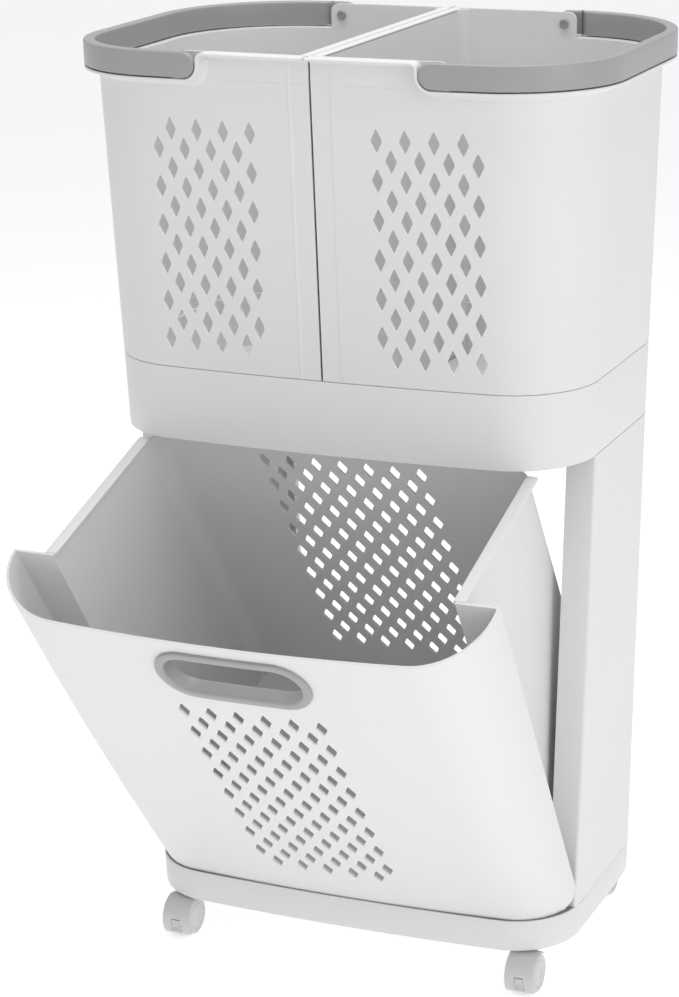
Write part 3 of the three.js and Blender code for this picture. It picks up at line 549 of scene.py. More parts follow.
# Where the bin's top edge lies at a given y: a circle about the pivot over the front, and behind
# the step the straight chord from there to the circle's point over the back wall.
def sweepTop(y):
    front, back = postFaceY(trayFoot) - tilt["stepGap"], tilt["backTop"]
    arc = pivotZ + np.sqrt(tilt["sweep"] ** 2 - (y - pivotY) ** 2)
    ends = pivotZ + np.sqrt(tilt["sweep"] ** 2 - (np.array([front, back]) - pivotY) ** 2)
    chord = ends[0] + (ends[1] - ends[0]) * (y - front) / (back - front)
    return np.where(y > front, chord, arc)


# The front panel's surface: the plan outline with its draft, swollen forward at mid height.
def panelAt(s, z):
    d = mapRange(z, tilt["foot"], trayFoot, body["draftBase"], tilt["draftTop"])
    x, y = planAt(panelPlan, s, d)
    x = x * (1 + mapRange(z, tilt["foot"], trayFoot, 0, tilt["flare"]) / (body["width"] / 2))
    middle = (baseRim + trayFoot) / 2
    swell = tilt["bulge"] * (1 - ((z - middle) / ((trayFoot - baseRim) / 2)) ** 2)
    return x, y - swell * np.clip((postFace["top"] - y) / 50, 0, 1)


# Keeps the panel's foot inside the circle that clears the base's rim as the bin swings.
def clearRim(x, y, z):
    drop = pivotZ - baseRim - tilt["swingGap"]
    rimX, rimY = planAt(mainPlan, np.linspace(0, 460, 500), body["draftBase"] - 2.2)
    keep = np.argmax(rimX) + 1
    reach = np.clip(pivotY - np.interp(np.abs(x), rimX[:keep], rimY[:keep]) - tilt["swingGap"], 0, None)
    reach = np.where(np.abs(x) > rimX.max(), 0, reach)
    radius2 = drop ** 2 + reach ** 2
    limit = pivotY - np.sqrt(np.clip(radius2 - (z - pivotZ) ** 2, 0, None))
    dips = (y - pivotY) * math.sin(openAngle) + (z - pivotZ) * math.cos(openAngle) < -drop
    return np.where(dips, np.maximum(y, limit), y)


# Columns of the right half of the bin's skin at heights z, from the middle of the front: across the
# perforated window, round the panel's corner to the ear's back edge, in along the step, back along
# the tub's side, round its rear corner and across the back.
def binHalf(z):
    rows = z.shape[0]
    step = postFaceY(z[:, :1]) - tilt["stepGap"]
    below = np.clip(pivotZ - z[:, :1], 0, tilt["earReach"] - 0.3)
    step = np.where(below > 0, np.minimum(step, pivotY + np.sqrt(tilt["earReach"] ** 2 - below ** 2)), step)
    d = mapRange(z[:, :1], tilt["foot"], trayFoot, body["draftBase"], tilt["draftTop"])
    end = np.array([stationAtY(panelPlan, y, o) for y, o in zip(step[:, 0], d[:, 0])])[:, None]
    window = np.arange(7) * tilt["columnHalf"]
    bow = np.linspace(window[-1], panelPlan["s"][planSteps - 1], 5)[1:]
    t = np.linspace(0, 1, 14)[1:]
    s = np.concatenate([np.broadcast_to(window, (rows, 7)), np.broadcast_to(bow, (rows, 4)),
                        bow[-1] + (end - bow[-1]) * t], 1)
    zPanel = z[:, :s.shape[1]]
    x, y = panelAt(s, zPanel)
    y = clearRim(x, y, zPanel)
    n = s.shape[1]
    z2 = z[:, n:]
    half, back, radius = tubHalf(z2), tubBack(z2), tilt["rearCorner"]
    xEar = x[:, -1:]
    xStep = xEar + (half[:, :3] - xEar) * (np.arange(1, 4) / 3)
    yStep = np.broadcast_to(step, (rows, 3))
    t = np.linspace(0, 1, 9)[1:]
    xSide, ySide = half[:, 3:11], step + (back[:, 3:11] - radius - step) * t
    angle = np.linspace(0, math.pi / 2, 9)[1:]
    xCorner = half[:, 11:19] - radius + radius * np.cos(angle)
    yCorner = back[:, 11:19] - radius + radius * np.sin(angle)
    wide = np.linspace(1, 0, 4)[1:-1]
    last = 7 * tilt["columnHalf"]
    xBack = last + (half[:, 19:21] - radius - last) * wide
    xWindow = np.broadcast_to(np.arange(7, -1, -1) * tilt["columnHalf"], (rows, 8))
    x = np.concatenate([x, xStep, xSide, xCorner, xBack, xWindow], 1)
    y = np.concatenate([y, yStep, ySide, yCorner, back[:, 19:21], back[:, 21:29]], 1)
    return x, y, n


# Heights of the skin's rows for one column: close together at the rounded foot, then one per row
# of the lattice.
def binRowHeights(firstRow, columns):
    lattice = firstRow - tilt["rowPitch"] * np.arange(tilt["holeRows"], -2, -1)
    foot = np.array([0, 2, 5, 9, 14, 20, 27, 36, 48]) + tilt["foot"]
    levels = np.concatenate([foot, lattice])
    return np.broadcast_to(levels[:, None], (len(levels), columns)).copy()


# The tub: its right half is worked out, mirrored, and joined into one closed skin whose front and back
# windows are perforated. The rows slide from the front's lattice to the back's along the side.
def makeBin():
    halfColumns = 24 + 3 + 8 + 8 + 2 + 8            # panel, step, side, corner, back and back window
    footRows, last = 9, tilt["holeRows"]
    z = binRowHeights(tilt["frontFirstRow"], halfColumns)
    back = binRowHeights(tilt["backFirstRow"], halfColumns)
    share = np.clip((np.arange(halfColumns) - 28) / 14, 0, 1)
    z = z * (1 - share) + back * share
    y = binHalf(np.full((1, halfColumns), 500.0))[1]
    topZ = sweepTop(y)
    above = np.linspace(0, 1, 8)[1:, None]
    firstStep = np.minimum(tilt["rowPitch"] / (topZ - z[-1:]), 0.9)
    backAbove = firstStep + (1 - firstStep) * np.linspace(0, 1, 7)[:, None]
    z = np.concatenate([z, z[-1:] + (topZ - z[-1:]) * (above * (1 - share) + backAbove * share)])
    x, y, n = binHalf(z)
    right = np.stack([x, y, z], -1)
    skin = np.concatenate([right, right[:, -2:0:-1] * [-1, 1, 1]], 1)
    columns = skin.shape[1]
    skin = np.roll(skin, 6, 1)                      # the front window starts at column 0
    hole = holeShare(tilt)
    windows = [
        {"row": footRows, "rows": last + 1, "column": 0, "columns": 12, "odd": 0,
         "open": lambda r, c: 1 <= r <= last and 1 <= c <= 11, **hole},
        {"row": footRows, "rows": last + 2, "column": halfColumns - 2, "columns": 14, "odd": 1,
         "open": lambda r, c: 1 <= r <= last + 1 and 1 <= c <= 13, **hole},
    ]
    faces, extra = latticeFaces(skin, windows, wrapColumns=True)
    flat = skin.reshape(-1, 3)
    keep = []
    ear = tilt["foot"] + tilt["earFloor"]
    gripRow = footRows + last + 1
    for face in faces:
        at = np.array(face)
        if at.max() >= len(flat):
            keep.append(face)
            continue
        col, row = at % columns, at // columns
        middle = flat[at].mean(0)
        stepColumn = (col >= 6 + n - 1).all() and (col <= 6 + n + 2).all()
        mirrorColumn = (col >= columns + 6 - n - 2).all() and (col <= columns + 6 - n + 1).all()
        if (stepColumn or mirrorColumn) and middle[2] < ear:
            continue
        if row.min() >= gripRow and row.max() <= gripRow + 6 and col.max() <= 12:
            continue
        keep.append(face)
    # The grip hole: quads between the removed block's border and a stadium round the bezel's middle.
    ringCells = [(gripRow, c) for c in range(13)] + [(r, 12) for r in range(gripRow + 1, gripRow + 7)] \
        + [(gripRow + 6, c) for c in range(11, -1, -1)] + [(r, 0) for r in range(gripRow + 5, gripRow, -1)]
    ring = np.array([r * columns + c for r, c in ringCells])
    angle = np.arctan2((flat[ring, 2] - grip["z"]) * 1.6, flat[ring, 0])
    inset = grip["holeSpare"] - grip["band"]
    sx, sz = stadium(angle, grip["wide"] / 2 + inset, grip["high"] / 2 + inset)
    px, py = panelAt(sx, sz + grip["z"])
    edge = np.stack([px, py, sz + grip["z"]], -1)
    points = np.concatenate([flat, skinAt(skin, extra), edge])
    first = len(flat) + len(extra)
    following = np.roll(np.arange(len(ring)), -1)
    keep += [[ring[i], ring[j], first + j, first + i] for i, j in enumerate(following)]
    tub = addPiece("binTub", points, keep, "bin", replaces=["bin_tub"], tilt=True)
    thicken(tub, wall, 0.45)
    makeBinFloor(skin)
    makeBinPockets()
    makeBinLips()


# A stadium's point in the direction of an angle: the furthest of its straight and round parts.
def stadium(angle, reach, high):
    straight = reach - high
    x = np.cos(angle)
    z = np.sin(angle)
    flatX = np.where(np.abs(z) > 1e-6, high * x / np.maximum(np.abs(z), 1e-6), 1e9)
    onFlat = np.abs(flatX) <= straight
    b = -np.abs(x) * straight
    c = straight ** 2 - high ** 2
    far = -b + np.sqrt(np.maximum(b * b - c, 0))
    return np.where(onFlat, flatX, far * x), np.where(onFlat, high * np.sign(z), far * z)


# The tub's floor, from the skin's second row without the ears.
def makeBinFloor(skin):
    loop = skin[1]
    plan = loop[np.abs(loop[:, 0]) < tubHalf(loop[0, 2]) + 0.5]
    middle = np.array([0, -10])
    outline = (plan[:, :2] - middle) * tilt["floorInset"] + middle
    low = tilt["foot"] + tilt["floorLift"]
    floor = floorPiece("binFloor", outline, (low, low + tilt["floorThick"]), 1, "bin", tilt=True)
    soften(floor, 0.5)


# Each ear's pocket and the tub's side below it, one bent sheet from the ear in and down, with the
# boss that the pivot pin runs in.
def makeBinPockets():
    ear, inset = tilt["foot"] + tilt["earFloor"], tilt["pocketInset"]
    level = np.array([ear + 1.3, ear + 1.3, ear + 0.4, ear - 12, tilt["foot"] + 1.5])
    half = tubHalf(level) - inset
    y0 = postFaceY(ear) - tilt["stepGap"] - inset
    end = stationAtY(panelPlan, y0, -15)
    walk = np.linspace(100, end, 60)
    innerX, innerY = panelAt(walk, level[2])
    earX, earY = panelAt(walk, ear)
    yRows = np.linspace(y0, np.interp(half, innerX, innerY) + 1.5, 9, axis=1)
    xRows = np.broadcast_to(half[:, None], yRows.shape).copy()
    outX = panelAt(end - 2, ear)[0] - 1.5
    xRows[0] = np.minimum(np.interp(yRows[0], earY, earX) - 1.5, outX)
    rows = np.stack([xRows, yRows, np.broadcast_to(level[:, None], yRows.shape)], -1)
    boss = {"radius": 7, "bore": 6.2, "inner": 9, "outer": 0.6}
    x0, x1 = tubHalf(pivotZ) - boss["inner"], tubHalf(pivotZ) + boss["outer"]
    profile = [(boss["bore"], x0), (boss["radius"], x0 + 0.8), (boss["radius"], x1 - 0.6), (6.4, x1)]
    for name, sign in sides:
        pocket = addPiece("binPocket" + name, rows * [sign, 1, 1], gridFaces(5, 9), "bin",
                          tilt=True, flip=sign < 0)
        thicken(pocket, 2.2, 0.3, offset=0)
        turned("pivotBoss" + name, [(r, sign * a) for r, a in profile][::sign], (0, pivotY, pivotZ), "x",
               "bin", tilt=True, steps=32)


# A rounded bar along the top of each side wall, straight from the step to the rear corner: its
# section lies across the wall and along the top edge's normal.
def makeBinLips():
    y = np.array([postFaceY(trayFoot) - tilt["stepGap"], tilt["backTop"] - 10])
    z = sweepTop(y + 1e-6)
    slope = (z[1] - z[0]) / (y[1] - y[0])
    normal = np.array([-slope, 1]) / math.hypot(slope, 1)
    thick = tilt["lipThick"]
    outline = roundCorners([(-tilt["lipInside"], 0.4), (-tilt["lipInside"], -thick),
                            (tilt["lip"], -thick), (tilt["lip"], 0.4)], [0.9, 0.8, 0.9, 0.9], 3)
    t = np.linspace(0, 1, 9)[:, None]
    for name, sign in sides:
        yLine, zLine = y[0] + (y[1] - y[0]) * t, z[0] + (z[1] - z[0]) * t
        x = tubHalf(zLine) + outline[None, :, 0]
        grid = np.stack([x * sign, yLine + normal[0] * outline[None, :, 1],
                         zLine + normal[1] * outline[None, :, 1]], -1)
        addPiece("binLip" + name, grid, tubeFaces(*x.shape), "bin", tilt=True, flip=sign > 0)


# The grommet: a rounded section carried round a stadium that lies on the panel's surface; section
# points give the way in from the outer edge and the height above the panel.
def makeBezel():
    section = roundCorners([(0, 0.2), (0.2, grip["proud"]), (grip["band"] - 1, grip["proud"] + 0.3),
                            (grip["band"], -grip["collar"]), (grip["band"] - 2.2, -grip["collar"]),
                            (grip["band"] - 2.2, -0.6), (1, -0.6)],
                           [0.4, 1.6, 3.2, 0.8, 0.8, 0.6, 0.4], 4)
    radius = grip["high"] / 2
    reach = grip["wide"] / 2 - radius
    s = np.linspace(0, 4 * reach + 2 * math.pi * radius, 161)[:-1]
    straight, arc = 2 * reach, math.pi * radius
    onTop = s < straight
    onLeft = (s >= straight) & (s < straight + arc)
    onLow = (s >= straight + arc) & (s < 2 * straight + arc)
    theta = np.select([onTop, onLeft, onLow],
                      [math.pi / 2, math.pi / 2 + (s - straight) / radius, 1.5 * math.pi],
                      -math.pi / 2 + (s - 2 * straight - arc) / radius)
    cx = np.select([onTop, onLeft, onLow], [reach - s, -reach, -reach + s - straight - arc], reach)
    rIn = radius - section[:, :1]
    x = cx[None, :] + rIn * np.cos(theta)[None, :]
    z = grip["z"] + rIn * np.sin(theta)[None, :]
    px, py = panelAt(x, z)
    slope = (panelAt(x, z + 1)[1] - panelAt(x, z - 1)[1]) / 2
    grid = np.stack([px, py - section[:, 1:], z - slope * section[:, 1:]], -1)
    faces = gridFaces(*x.shape, wrapRows=True, wrapColumns=True)
    addPiece("gripBezel", grid, faces, "bin", "grey_plastic", replaces=["bin_grip_bezel"], tilt=True)


basket = {
    "gap": 1, "centreLip": 9, "floorStart": 11.5, "plug": wall + 0.6,
    "foot": trayRim - ledgeDrop + 0.4, "shoulder": trayRim + 0.4,
    "firstColumn": 61.6, "columnHalf": 13.5, "columns": 4,
    "firstRow": top - 72.4, "rowPitch": 18.02, "holeRows": 12,
    "holeWide": 11.5, "holeHigh": 23.2,
    "skinTop": seatZ - 2, "flange": 23.3, "pivotX": 119, "tabReach": 12, "innerCorner": 12,
}
pivotRise = seatZ + body["handleHeight"] / 2


# Heights of a basket's rows and how far out each stands: the plug that drops into the tray, its
# shoulder, one row per row of the lattice, and the plain band under the rim.
def basketRows():
    lattice = basket["firstRow"] - basket["rowPitch"] * np.arange(basket["holeRows"], -2, -1)
    foot, shoulder = basket["foot"], basket["shoulder"]
    z = np.concatenate([[foot, foot + 0.8, foot + 2.4, shoulder - 20, shoulder - 0.1, shoulder,
                         shoulder + 0.6], lattice, [seatZ - 18, seatZ - 8, basket["skinTop"]]])
    plug = draftAt(z) - basket["plug"]
    d = np.where(z < shoulder, plug, draftAt(z))
    d[0] -= 2.4
    d[1] -= 0.8
    d[5] = draftAt(shoulder) - 0.5
    return z, d


# A basket's outer shell: front, corner, side, corner and back in one skin with two windows.
def makeBasket(name, sign):
    z, d = basketRows()
    start = basket["firstColumn"] - basket["columnHalf"]
    window = start + basket["columnHalf"] * np.arange(2 * basket["columns"] + 2)
    near = np.linspace(basket["gap"], start, 5)[:-1]
    corner = np.linspace(window[-1], cornerEnd, 15)[1:]
    side = np.linspace(cornerEnd, rearStart, 5)[1:]
    length = mainPlan["length"]
    backWindow = length - window[::-1]
    rear = np.linspace(rearStart, backWindow[0], 17)[1:-1]
    stations = np.concatenate([near, window, corner, side, rear, backWindow, length - near[::-1]])
    x, y = planAt(mainPlan, stations[None, :], d[:, None])
    skin = np.stack([x, y, np.broadcast_to(z[:, None], x.shape)], -1)
    last = basket["holeRows"]
    hole = holeShare(basket)
    count = len(window) - 1
    windows = [{"row": 7, "rows": last + 1, "column": column, "columns": count, "odd": odd,
                "open": lambda r, c: 1 <= r <= last and 1 <= c <= count - 1, **hole}
               for column, odd in ((4, 0), (len(stations) - 4 - len(window), 1))]
    faces, extra = latticeFaces(skin, windows)
    points = np.concatenate([skin.reshape(-1, 3), skinAt(skin, extra)]) * [sign, 1, 1]
    bodyName = "basket_" + name.lower()
    shell = addPiece("basketShell" + name, points, faces, bodyName, replaces=[bodyName], flip=sign < 0)
    thicken(shell, wall, 0.45)
    makeBasketFloor(name, sign, bodyName, skin[1])
    makeCentreWall(name, sign, bodyName)
    makeRim(name, sign, bodyName)
    print("basket", name.lower(), "ready")


# A basket's floor: the shell's foot outline, cut straight beside the centre wall.
def makeBasketFloor(name, sign, bodyName, loop):
    plan = loop[:, :2] * 0.992
    plan[[0, -1], 0] = basket["floorStart"]
    plan = plan[np.r_[0, 2:len(plan) - 2, len(plan) - 1]]
    levels = (basket["foot"] + 0.15, basket["foot"] + wall)
    soften(floorPiece("basketFloor" + name, plan, levels, sign, bodyName), 0.4)


# The inner wall beside the cart's middle: a sheet from floor to rim whose plan runs round a small
# radius into the front and back walls, capped by a flat lip that reaches to the middle.
def makeCentreWall(name, sign, bodyName):
    inner = basket["gap"] + basket["centreLip"]
    radius = basket["innerCorner"]
    z = np.concatenate([[basket["foot"] + 1, basket["shoulder"] - 1, basket["shoulder"] + 3],
                        np.linspace(basket["shoulder"] + 40, seatZ, 6), [top - 1.2]])[:, None]
    d = np.where(z < basket["shoulder"], draftAt(z) - basket["plug"], draftAt(z)) - wall + 0.4
    a = np.linspace(0, math.pi / 2, 7)[None, :]
    yFirst, yLast = planAt(mainPlan, inner, 0)[1] - d, body["depth"] / 2 + d
    across, along = inner + radius * (1 - np.sin(a)), radius * (1 - np.cos(a))
    t = np.linspace(0, 1, 8)[1:-1][None, :]
    middle = (yFirst + radius) * (1 - t) + (yLast - radius) * t
    y = np.concatenate([yFirst + along, middle, yLast - along[:, ::-1]], 1)
    x = np.concatenate([across, np.full((1, 6), inner), across[:, ::-1]], 1)
    x = np.broadcast_to(x, y.shape)
    grid = np.stack([x * sign, y, np.broadcast_to(z, y.shape)], -1)
    sheet = addPiece("basketCentreWall" + name, grid, gridFaces(*y.shape), bodyName, flip=sign < 0)
    thicken(sheet, wall, 0.4)
    outline = roundCorners([(basket["gap"], top), (basket["gap"], top - 2.6), (inner, top - 2.6),
                            (inner, top)], [1.2, 0.5, 0.5, 1.2], 3)
    reach = body["depth"] / 2 + body["draftHandle"] - 1.5
    y = np.broadcast_to(np.linspace(-reach, reach, 9)[:, None], (9, len(outline)))
    grid = np.stack([np.broadcast_to(outline[:, 0] * sign, y.shape), y,
                     np.broadcast_to(outline[:, 1], y.shape)], -1)
    addPiece("basketCentreLip" + name, grid, tubeFaces(*y.shape), bodyName, flip=sign > 0)


# The flange's path in (arc length, height): level at the top, round a corner, down concentric with
# the handle's arm end, and along under the handle as its ledge; the back mirrors the front.
def flangePath():
    size = {"thick": 2.8, "armGap": 1.3, "corner": 6}
    x, z, r = basket["pivotX"], pivotRise, body["handleHeight"] / 2 + size["armGap"] + size["thick"] / 2
    high, low = top - size["thick"] / 2, z - r
    back = x - r
    curve = bend(np.array([back - size["corner"], high]), np.array([back, high]),
                 np.array([back, high - size["corner"]]), np.linspace(0, 1, 6)[:, None])
    a = np.linspace(math.pi, 1.5 * math.pi, 10)
    arc = np.stack([x + r * np.cos(a), z + r * np.sin(a)], -1)
    start = np.stack([np.linspace(basket["gap"], back - size["corner"], 8, endpoint=False),
                      np.full(8, high)], -1)
    marks = [x, bowEnd, cornerEnd, rearStart, rearEnd, mainPlan["length"] - x]
    ledge = runThrough(marks, (5, 14, 4, 16, 3))[1:]
    under = np.stack([ledge, np.full(len(ledge), low)], -1)
    front = np.concatenate([start, curve, arc])
    back = front[::-1] * [-1, 1] + [mainPlan["length"], 0]
    return np.concatenate([front, under, back]), size["thick"]


# The flange: a section carried along its path, coved underneath where it meets the shell, and the
# upright tabs inside the handle's arms, front and back, each with a rounded top corner.
def makeRim(name, sign, bodyName):
    path, thick = flangePath()
    along = np.gradient(path, axis=0)
    along /= np.linalg.norm(along, axis=1, keepdims=True)
    normal = np.stack([-along[:, 1], along[:, 0]], -1)
    inner = body["draftHandle"] - wall + 0.5
    rise = np.clip((path[:, 1] - pivotRise) / 8, -1, 1)[:, None]
    wallFoot = np.where(rise > 0.9, inner, body["draftHandle"] - 1.2)
    # How far out from the wall the section's points are, and how far up along the path's normal.
    out = np.array([0, 0.35, 0.8, 0.96, 1, 1, 0.96, 0.8, 0.45, 0.22, 0.1, 0])[None, :]
    lift = np.array([0.5, 0.5, 0.5, 0.46, 0.2, -0.2, -0.46, -0.5, -0.62, -1.1, -1.9, -3.0])[None, :] * thick
    d = wallFoot + (basket["flange"] - wallFoot) * out
    s = path[:, :1] + normal[:, :1] * lift
    z = path[:, 1:] + normal[:, 1:] * lift
    x, y = planAt(mainPlan, s, d)
    grid = np.stack([x * sign, y, z], -1)
    addPiece("basketFlange" + name, grid, tubeFaces(*x.shape), bodyName, flip=sign < 0)
    end, radius = basket["pivotX"] + basket["tabReach"], 8
    turn = np.linspace(0, math.pi / 2, 9)[1:]
    s = np.concatenate([np.linspace(basket["gap"], end - radius, 8), end - radius * (1 - np.sin(turn))])
    past = np.clip(s - end + radius, 0, None)
    topZ = top - 0.4 - (radius - np.sqrt(np.clip(radius ** 2 - past ** 2, 0, None)))
    z = basket["skinTop"] + (topZ - basket["skinTop"]) * np.linspace(0, 1, 7)[:, None]
    for place, mirror in (("Front", False), ("Back", True)):
        station = mainPlan["length"] - s[None, :] if mirror else s[None, :]
        x, y = planAt(mainPlan, station, draftAt(np.minimum(z, seatZ)))
        grid = np.stack([x * sign, y, z], -1)
        tab = addPiece(f"basketTab{place}{name}", grid, gridFaces(*x.shape), bodyName,
                       flip=(sign < 0) != mirror)
        thicken(tab, wall, 0.6)


# The bail: a channel section carried along the plan from pivot to pivot. Its height closes to a
# half circle about each pivot, and its arms are thinner beside the basket's tabs.
def makeHandle(name, sign):
    size = {"outer": 23.3, "thick": 11, "thin": 5.8, "skin": 2.4, "round": 2.0, "jog": 2.5,
            "jogGap": 1.2, "slotRun": 14}
    length, x0, r = mainPlan["length"], basket["pivotX"], body["handleHeight"] / 2
    ends = x0 - r * np.cos(np.linspace(0, math.pi / 2, 10))
    jog = x0 + basket["tabReach"] + size["jogGap"]
    jogEnd = jog + size["jog"]
    marks = [x0, jog, jogEnd, bowEnd, cornerEnd, rearStart, rearEnd]
    marks += [length - jogEnd, length - jog, length - x0]
    middle = runThrough(marks, (5, 6, 4, 18, 5, 20, 3, 6, 5))[1:]
    stations = np.concatenate([ends, middle, length - ends[::-1]])
    fromEnd = np.minimum(stations, length - stations)
    half = np.sqrt(np.clip(r ** 2 - np.clip(x0 - fromEnd, 0, None) ** 2, 1e-4, None))
    grow = np.clip((fromEnd - jog) / size["jog"], 0, 1)
    grow = grow * grow * (3 - 2 * grow)
    inner = size["outer"] - size["thin"] - (size["thick"] - size["thin"]) * grow
    slot = np.clip((fromEnd - jogEnd) / size["slotRun"], 0, 1)
    outer = np.full_like(inner, size["outer"])
    skin = size["skin"]
    low, high = -half, half
    slotTop = low + 0.02 + slot * (2 * half - skin - 0.02)
    corners = [(inner, low), (inner, high), (outer, high), (outer, low), (outer - skin, low),
               (outer - skin, slotTop), (inner + skin * 0.9, slotTop), (inner + skin * 0.9, low)]
    rounding = np.array([0.6, size["round"], size["round"], size["round"] * 0.6, 0.4, 0.8, 0.8, 0.4])
    section = np.array([roundCorners([(d[i], h[i]) for d, h in corners],
                                     np.minimum(rounding, half[i] * 0.7), 4) for i in range(len(stations))])
    x, y = planAt(mainPlan, stations[:, None], section[..., 0])
    grid = np.stack([x * sign, y, pivotRise + section[..., 1]], -1)
    node = "handle_" + name.lower()
    addPiece("bail" + name, grid, tubeFaces(*x.shape), node, "grey_plastic", replaces=[node], flip=sign > 0)
    makeBailPins(name, sign)


# The two headed pins of a bail: a shank from the basket's wall out to a dished head.
def makeBailPins(name, sign):
    for place in ("front", "rear"):
        node = f"handle_pin_{name.lower()}_{place}"
        low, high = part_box(node)
        y0, y1 = low.y * 1000 - shiftY, high.y * 1000 - shiftY
        long = abs(y1 - y0)
        profile = [(3.4, 0), (3.4, long - 2.2), (4.6, long - 2.2), (4.7, long - 1), (4.2, long - 0.2),
                   (3, long), (2.6, long - 0.5), (0.6, long - 0.6)]
        points = [(radius, y0 + along) for radius, along in profile]
        if place == "rear":
            points = [(radius, y1 - along) for radius, along in profile[::-1]]
        turned(f"bailPin{name}{place.title()}", points, (sign * basket["pivotX"], 0, pivotRise), "y",
               "basket_" + name.lower(), "pin_plastic", steps=32, replaces=[node])


caster = {"wheel": 19, "wheelWide": 8.5, "gap": 12.4, "trail": 14, "hoodGap": 1, "hoodThick": 2,
          "shoulder": 0.8, "tabWide": 9, "tabHigh": 12, "tabDrop": 4, "tabLean": 2,
          "webGap": 0.7, "webInset": 1.5}


# Points of an arc about the axle as (y, z), between two angles in degrees or at given ones.
def aboutAxle(axle, radius, degrees):
    angle = np.radians(degrees)
    return np.stack([axle[1] + radius * np.cos(angle), axle[2] + radius * np.sin(angle)], -1)


# The hood over both wheels: an arc about the axle from behind the stem to low in front, whose
# radius falls away towards its two sides so that the shoulders are round.
def makeCaster(place, x, y):
    bodyName, finish = f"caster_{place}", "pale_plastic"
    axle = np.array([x, y - caster["trail"], caster["wheel"]])
    outer = caster["wheel"] + caster["hoodGap"] + caster["hoodThick"]
    halfWide = caster["gap"] / 2 + caster["wheelWide"] + 0.4
    w = np.sin(np.linspace(-math.pi / 2, math.pi / 2, 21))
    radius = outer - caster["shoulder"] * np.abs(w) ** 8
    arc = aboutAxle(axle, radius[None, :], np.linspace(52, 222, 35)[:, None])
    across = np.broadcast_to(axle[0] + halfWide * w, arc.shape[:2])
    grid = np.concatenate([across[..., None], arc], -1)
    faces = gridFaces(*arc.shape[:2])
    webOuter = outer - caster["webInset"]
    web = aboutAxle(axle, webOuter, np.linspace(58, 222, 22))
    braked = place.startswith("front")
    if braked:
        # The tab's window is left open in the hood, and the web steps back behind it.
        centre = grid.reshape(-1, 3)[faces].mean(1)
        beside = np.abs(centre[:, 0] - x) < caster["tabWide"] / 2 + 1
        level = np.abs(centre[:, 2] - axle[2] + caster["tabDrop"]) < caster["tabHigh"] / 2 + 1.8
        faces = faces[~(beside & level & (centre[:, 1] < axle[1]))]
        inset = axle[1] - outer + 7.5
        web = np.concatenate([aboutAxle(axle, webOuter, [58, 80, 100, 120, 140, 155]),
                              [[inset, axle[2] + 4], [inset, axle[2] - 11]]])
    hood = addPiece(f"hood_{place}", grid, faces, bodyName, finish, replaces=[f"caster_{place}_hood"],
                    flip=True, sharp=60)
    thicken(hood, caster["hoodThick"] - 0.1, 0.4)
    web = np.concatenate([web, aboutAxle(axle, 6, np.linspace(222, 360, 6)),
                          [[y + 5.6, axle[2] + 4], [y + 7.4, baseFoot - 1.2]]])
    half = caster["gap"] / 2 - caster["webGap"]
    soften(slabPiece(f"web_{place}", web, (x - half, x + half), bodyName, finish, flip=True), 0.5)
    collar = [(5.4, -12), (6.6, -10), (7.4, -2), (7.4, -0.7), (4.2, -0.6)]
    turned(f"collar_{place}", collar, (x, y, baseFoot), "z", bodyName, finish, steps=32)
    r, w = caster["wheel"], caster["wheelWide"]
    profile = [(2.3, 0), (r - 1.4, 0), (r - 0.4, 0.4), (r, 1.4), (r, w - 2), (r - 0.5, w - 0.9),
               (r - 1.8, w - 0.25), (14.6, w), (14, w - 0.7), (12.8, w - 0.9), (12.2, w - 0.3),
               (6, w + 0.05), (5.4, w - 0.5), (4.2, w - 0.6), (0.8, w - 0.6)]
    for name, sign in sides:
        points = [(a, sign * (caster["gap"] / 2 + b)) for a, b in profile][::sign]
        node = f"caster_{place}_wheel_{name.lower()}"
        turned(f"wheel_{place}_{name.lower()}", points, axle, "x", node, finish, steps=56, replaces=[node])
    if braked:
        makeBrakeTab(place, x, axle[1] - outer)


# The foot-brake tab: a small plate, thicker and proud at its foot, with two grip ribs.
def makeBrakeTab(place, x, y):
    node = f"caster_{place}_brake_tab"
    z0 = caster["wheel"] - caster["tabDrop"] - caster["tabHigh"] / 2
    t = np.linspace(0, 1, 9)
    front = y + 0.5 - caster["tabLean"] * (1 - t) ** 1.6
    section = np.concatenate([np.stack([front, z0 + caster["tabHigh"] * t], -1),
                              [[y + 2.8, z0 + caster["tabHigh"]], [y + 1.8, z0]]])
    half = caster["tabWide"] / 2
    tab = slabPiece(f"brakeTab_{place}", section, (x - half, x + half), node, "pale_plastic",
                    replaces=[node], flip=True)
    soften(tab, 0.6, 3)
    for rib in (0.16, 0.3):
        z = z0 + caster["tabHigh"] * rib
        yRib = y + 0.5 - caster["tabLean"] * (1 - rib) ** 1.6
        bar = boxPiece(f"brakeRib_{place}_{int(rib * 100)}", (x - 3.2, yRib - 0.5, z - 0.4),
                       (x + 3.2, yRib + 0.4, z + 0.4), 0.25, bodyName=node)
        bar.data.materials[0] = finishes["pale_plastic"]


makeBase()
makePosts()
makeUpperTray()
print("carcass ready")
makeBin()
makeBezel()
print("bin ready")
for basketName, basketSign in sides:
    makeBasket(basketName, basketSign)
    makeHandle(basketName, basketSign)
for casterPlace, (casterX, casterY) in stemPlaces().items():
    makeCaster(casterPlace, casterX, casterY)
print("casters ready")
for nodeName, node in frame["nodes"].items():
    if nodeName.startswith("bin_pivot_pin") or nodeName.endswith(("_stem", "_axle")):
        node.data.materials.clear()
        node.data.materials.append(steel)

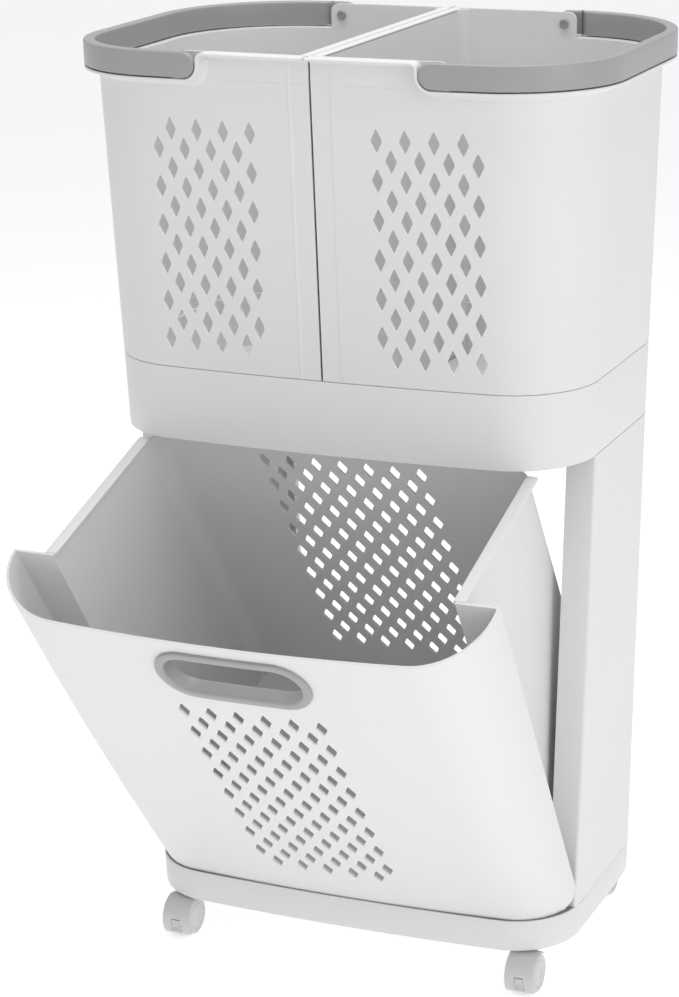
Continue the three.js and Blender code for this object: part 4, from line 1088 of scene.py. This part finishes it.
view = {
    "place": (992.1, -2369, 1250.7), "yaw": -0.3783, "pitch": -0.3416, "roll": -0.01271,
    "lens": 64.94684, "sensor": 24, "shift": (-0.103009, 0.10321),
}
light = {
    "world": 0.5, "floor": (0.9, 0.9, 0.9), "floorGlow": 0.45, "floorHalf": 40,
    "topPower": 31, "topSize": 1.6, "frontPower": 12, "rightPower": 19,
}


# The camera looks along yaw and pitch, turned by a small roll about its own line of sight.
def makeCamera():
    yaw, pitch, roll = view["yaw"], view["pitch"], view["roll"]
    forward = np.array([math.sin(yaw) * math.cos(pitch), math.cos(yaw) * math.cos(pitch), math.sin(pitch)])
    right = np.array([math.cos(yaw), -math.sin(yaw), 0])
    up = np.cross(right, forward)
    right, up = (math.cos(roll) * right + math.sin(roll) * up, -math.sin(roll) * right + math.cos(roll) * up)
    data = bpy.data.cameras.new("camera")
    camera = bpy.data.objects.new("camera", data)
    bpy.context.scene.collection.objects.link(camera)
    data.sensor_fit = "VERTICAL"
    data.sensor_height = view["sensor"]
    data.lens = view["lens"]
    data.shift_x, data.shift_y = view["shift"]
    data.clip_end = 50
    place = (np.array(view["place"]) + [0, shiftY, 0]) / 1000
    matrix = np.eye(4)
    matrix[:3, 0], matrix[:3, 1], matrix[:3, 2], matrix[:3, 3] = right, up, -forward, place
    camera.matrix_world = Matrix(matrix.tolist())
    bpy.context.scene.camera = camera


# A rectangular lamp aimed at a point.
def addLight(name, power, size, place, aim):
    data = bpy.data.lights.new(name, "AREA")
    data.energy = power
    data.shape = "RECTANGLE"
    data.size, data.size_y = size
    lamp = bpy.data.objects.new(name, data)
    bpy.context.scene.collection.objects.link(lamp)
    lamp.location = place
    lamp.rotation_euler = (Vector(aim) - Vector(place)).to_track_quat("-Z", "Y").to_euler()


# A wide pale floor that glows a little, a plain sky and three lamps.
def makeRoom():
    mesh = bpy.data.meshes.new("floor")
    r = light["floorHalf"]
    mesh.from_pydata([(-r, -r, 0), (r, -r, 0), (r, r, 0), (-r, r, 0)], [], [(0, 1, 2, 3)])
    floor = bpy.data.objects.new("floor", mesh)
    bpy.context.scene.collection.objects.link(floor)
    material = bpy.data.materials.new("paleFloor")
    material.use_nodes = True
    shader = material.node_tree.nodes["Principled BSDF"]
    dial(shader, {"Base Color": (*light["floor"], 1), "Roughness": 0.9, "Emission Color": (1, 1, 1, 1),
                  "Emission Strength": light["floorGlow"]})
    mesh.materials.append(material)
    world = bpy.data.worlds.new("studio")
    bpy.context.scene.world = world
    world.use_nodes = True
    background = world.node_tree.nodes["Background"]
    dial(background, {"Color": (1, 1, 1, 1), "Strength": light["world"]})
    addLight("overhead", light["topPower"], (light["topSize"], light["topSize"]), (0, 0.1, 2.6), (0, 0, 0.5))
    addLight("front", light["frontPower"], (2, 2), (1.4, -2.4, 2.6), (0, 0, 0.5))
    addLight("right", light["rightPower"], (1.5, 2), (3, -1.3, 1.4), (0, 0, 0.5))


makeCamera()
makeRoom()
bpy.context.scene.view_settings.view_transform = "Standard"
bpy.context.view_layer.update()
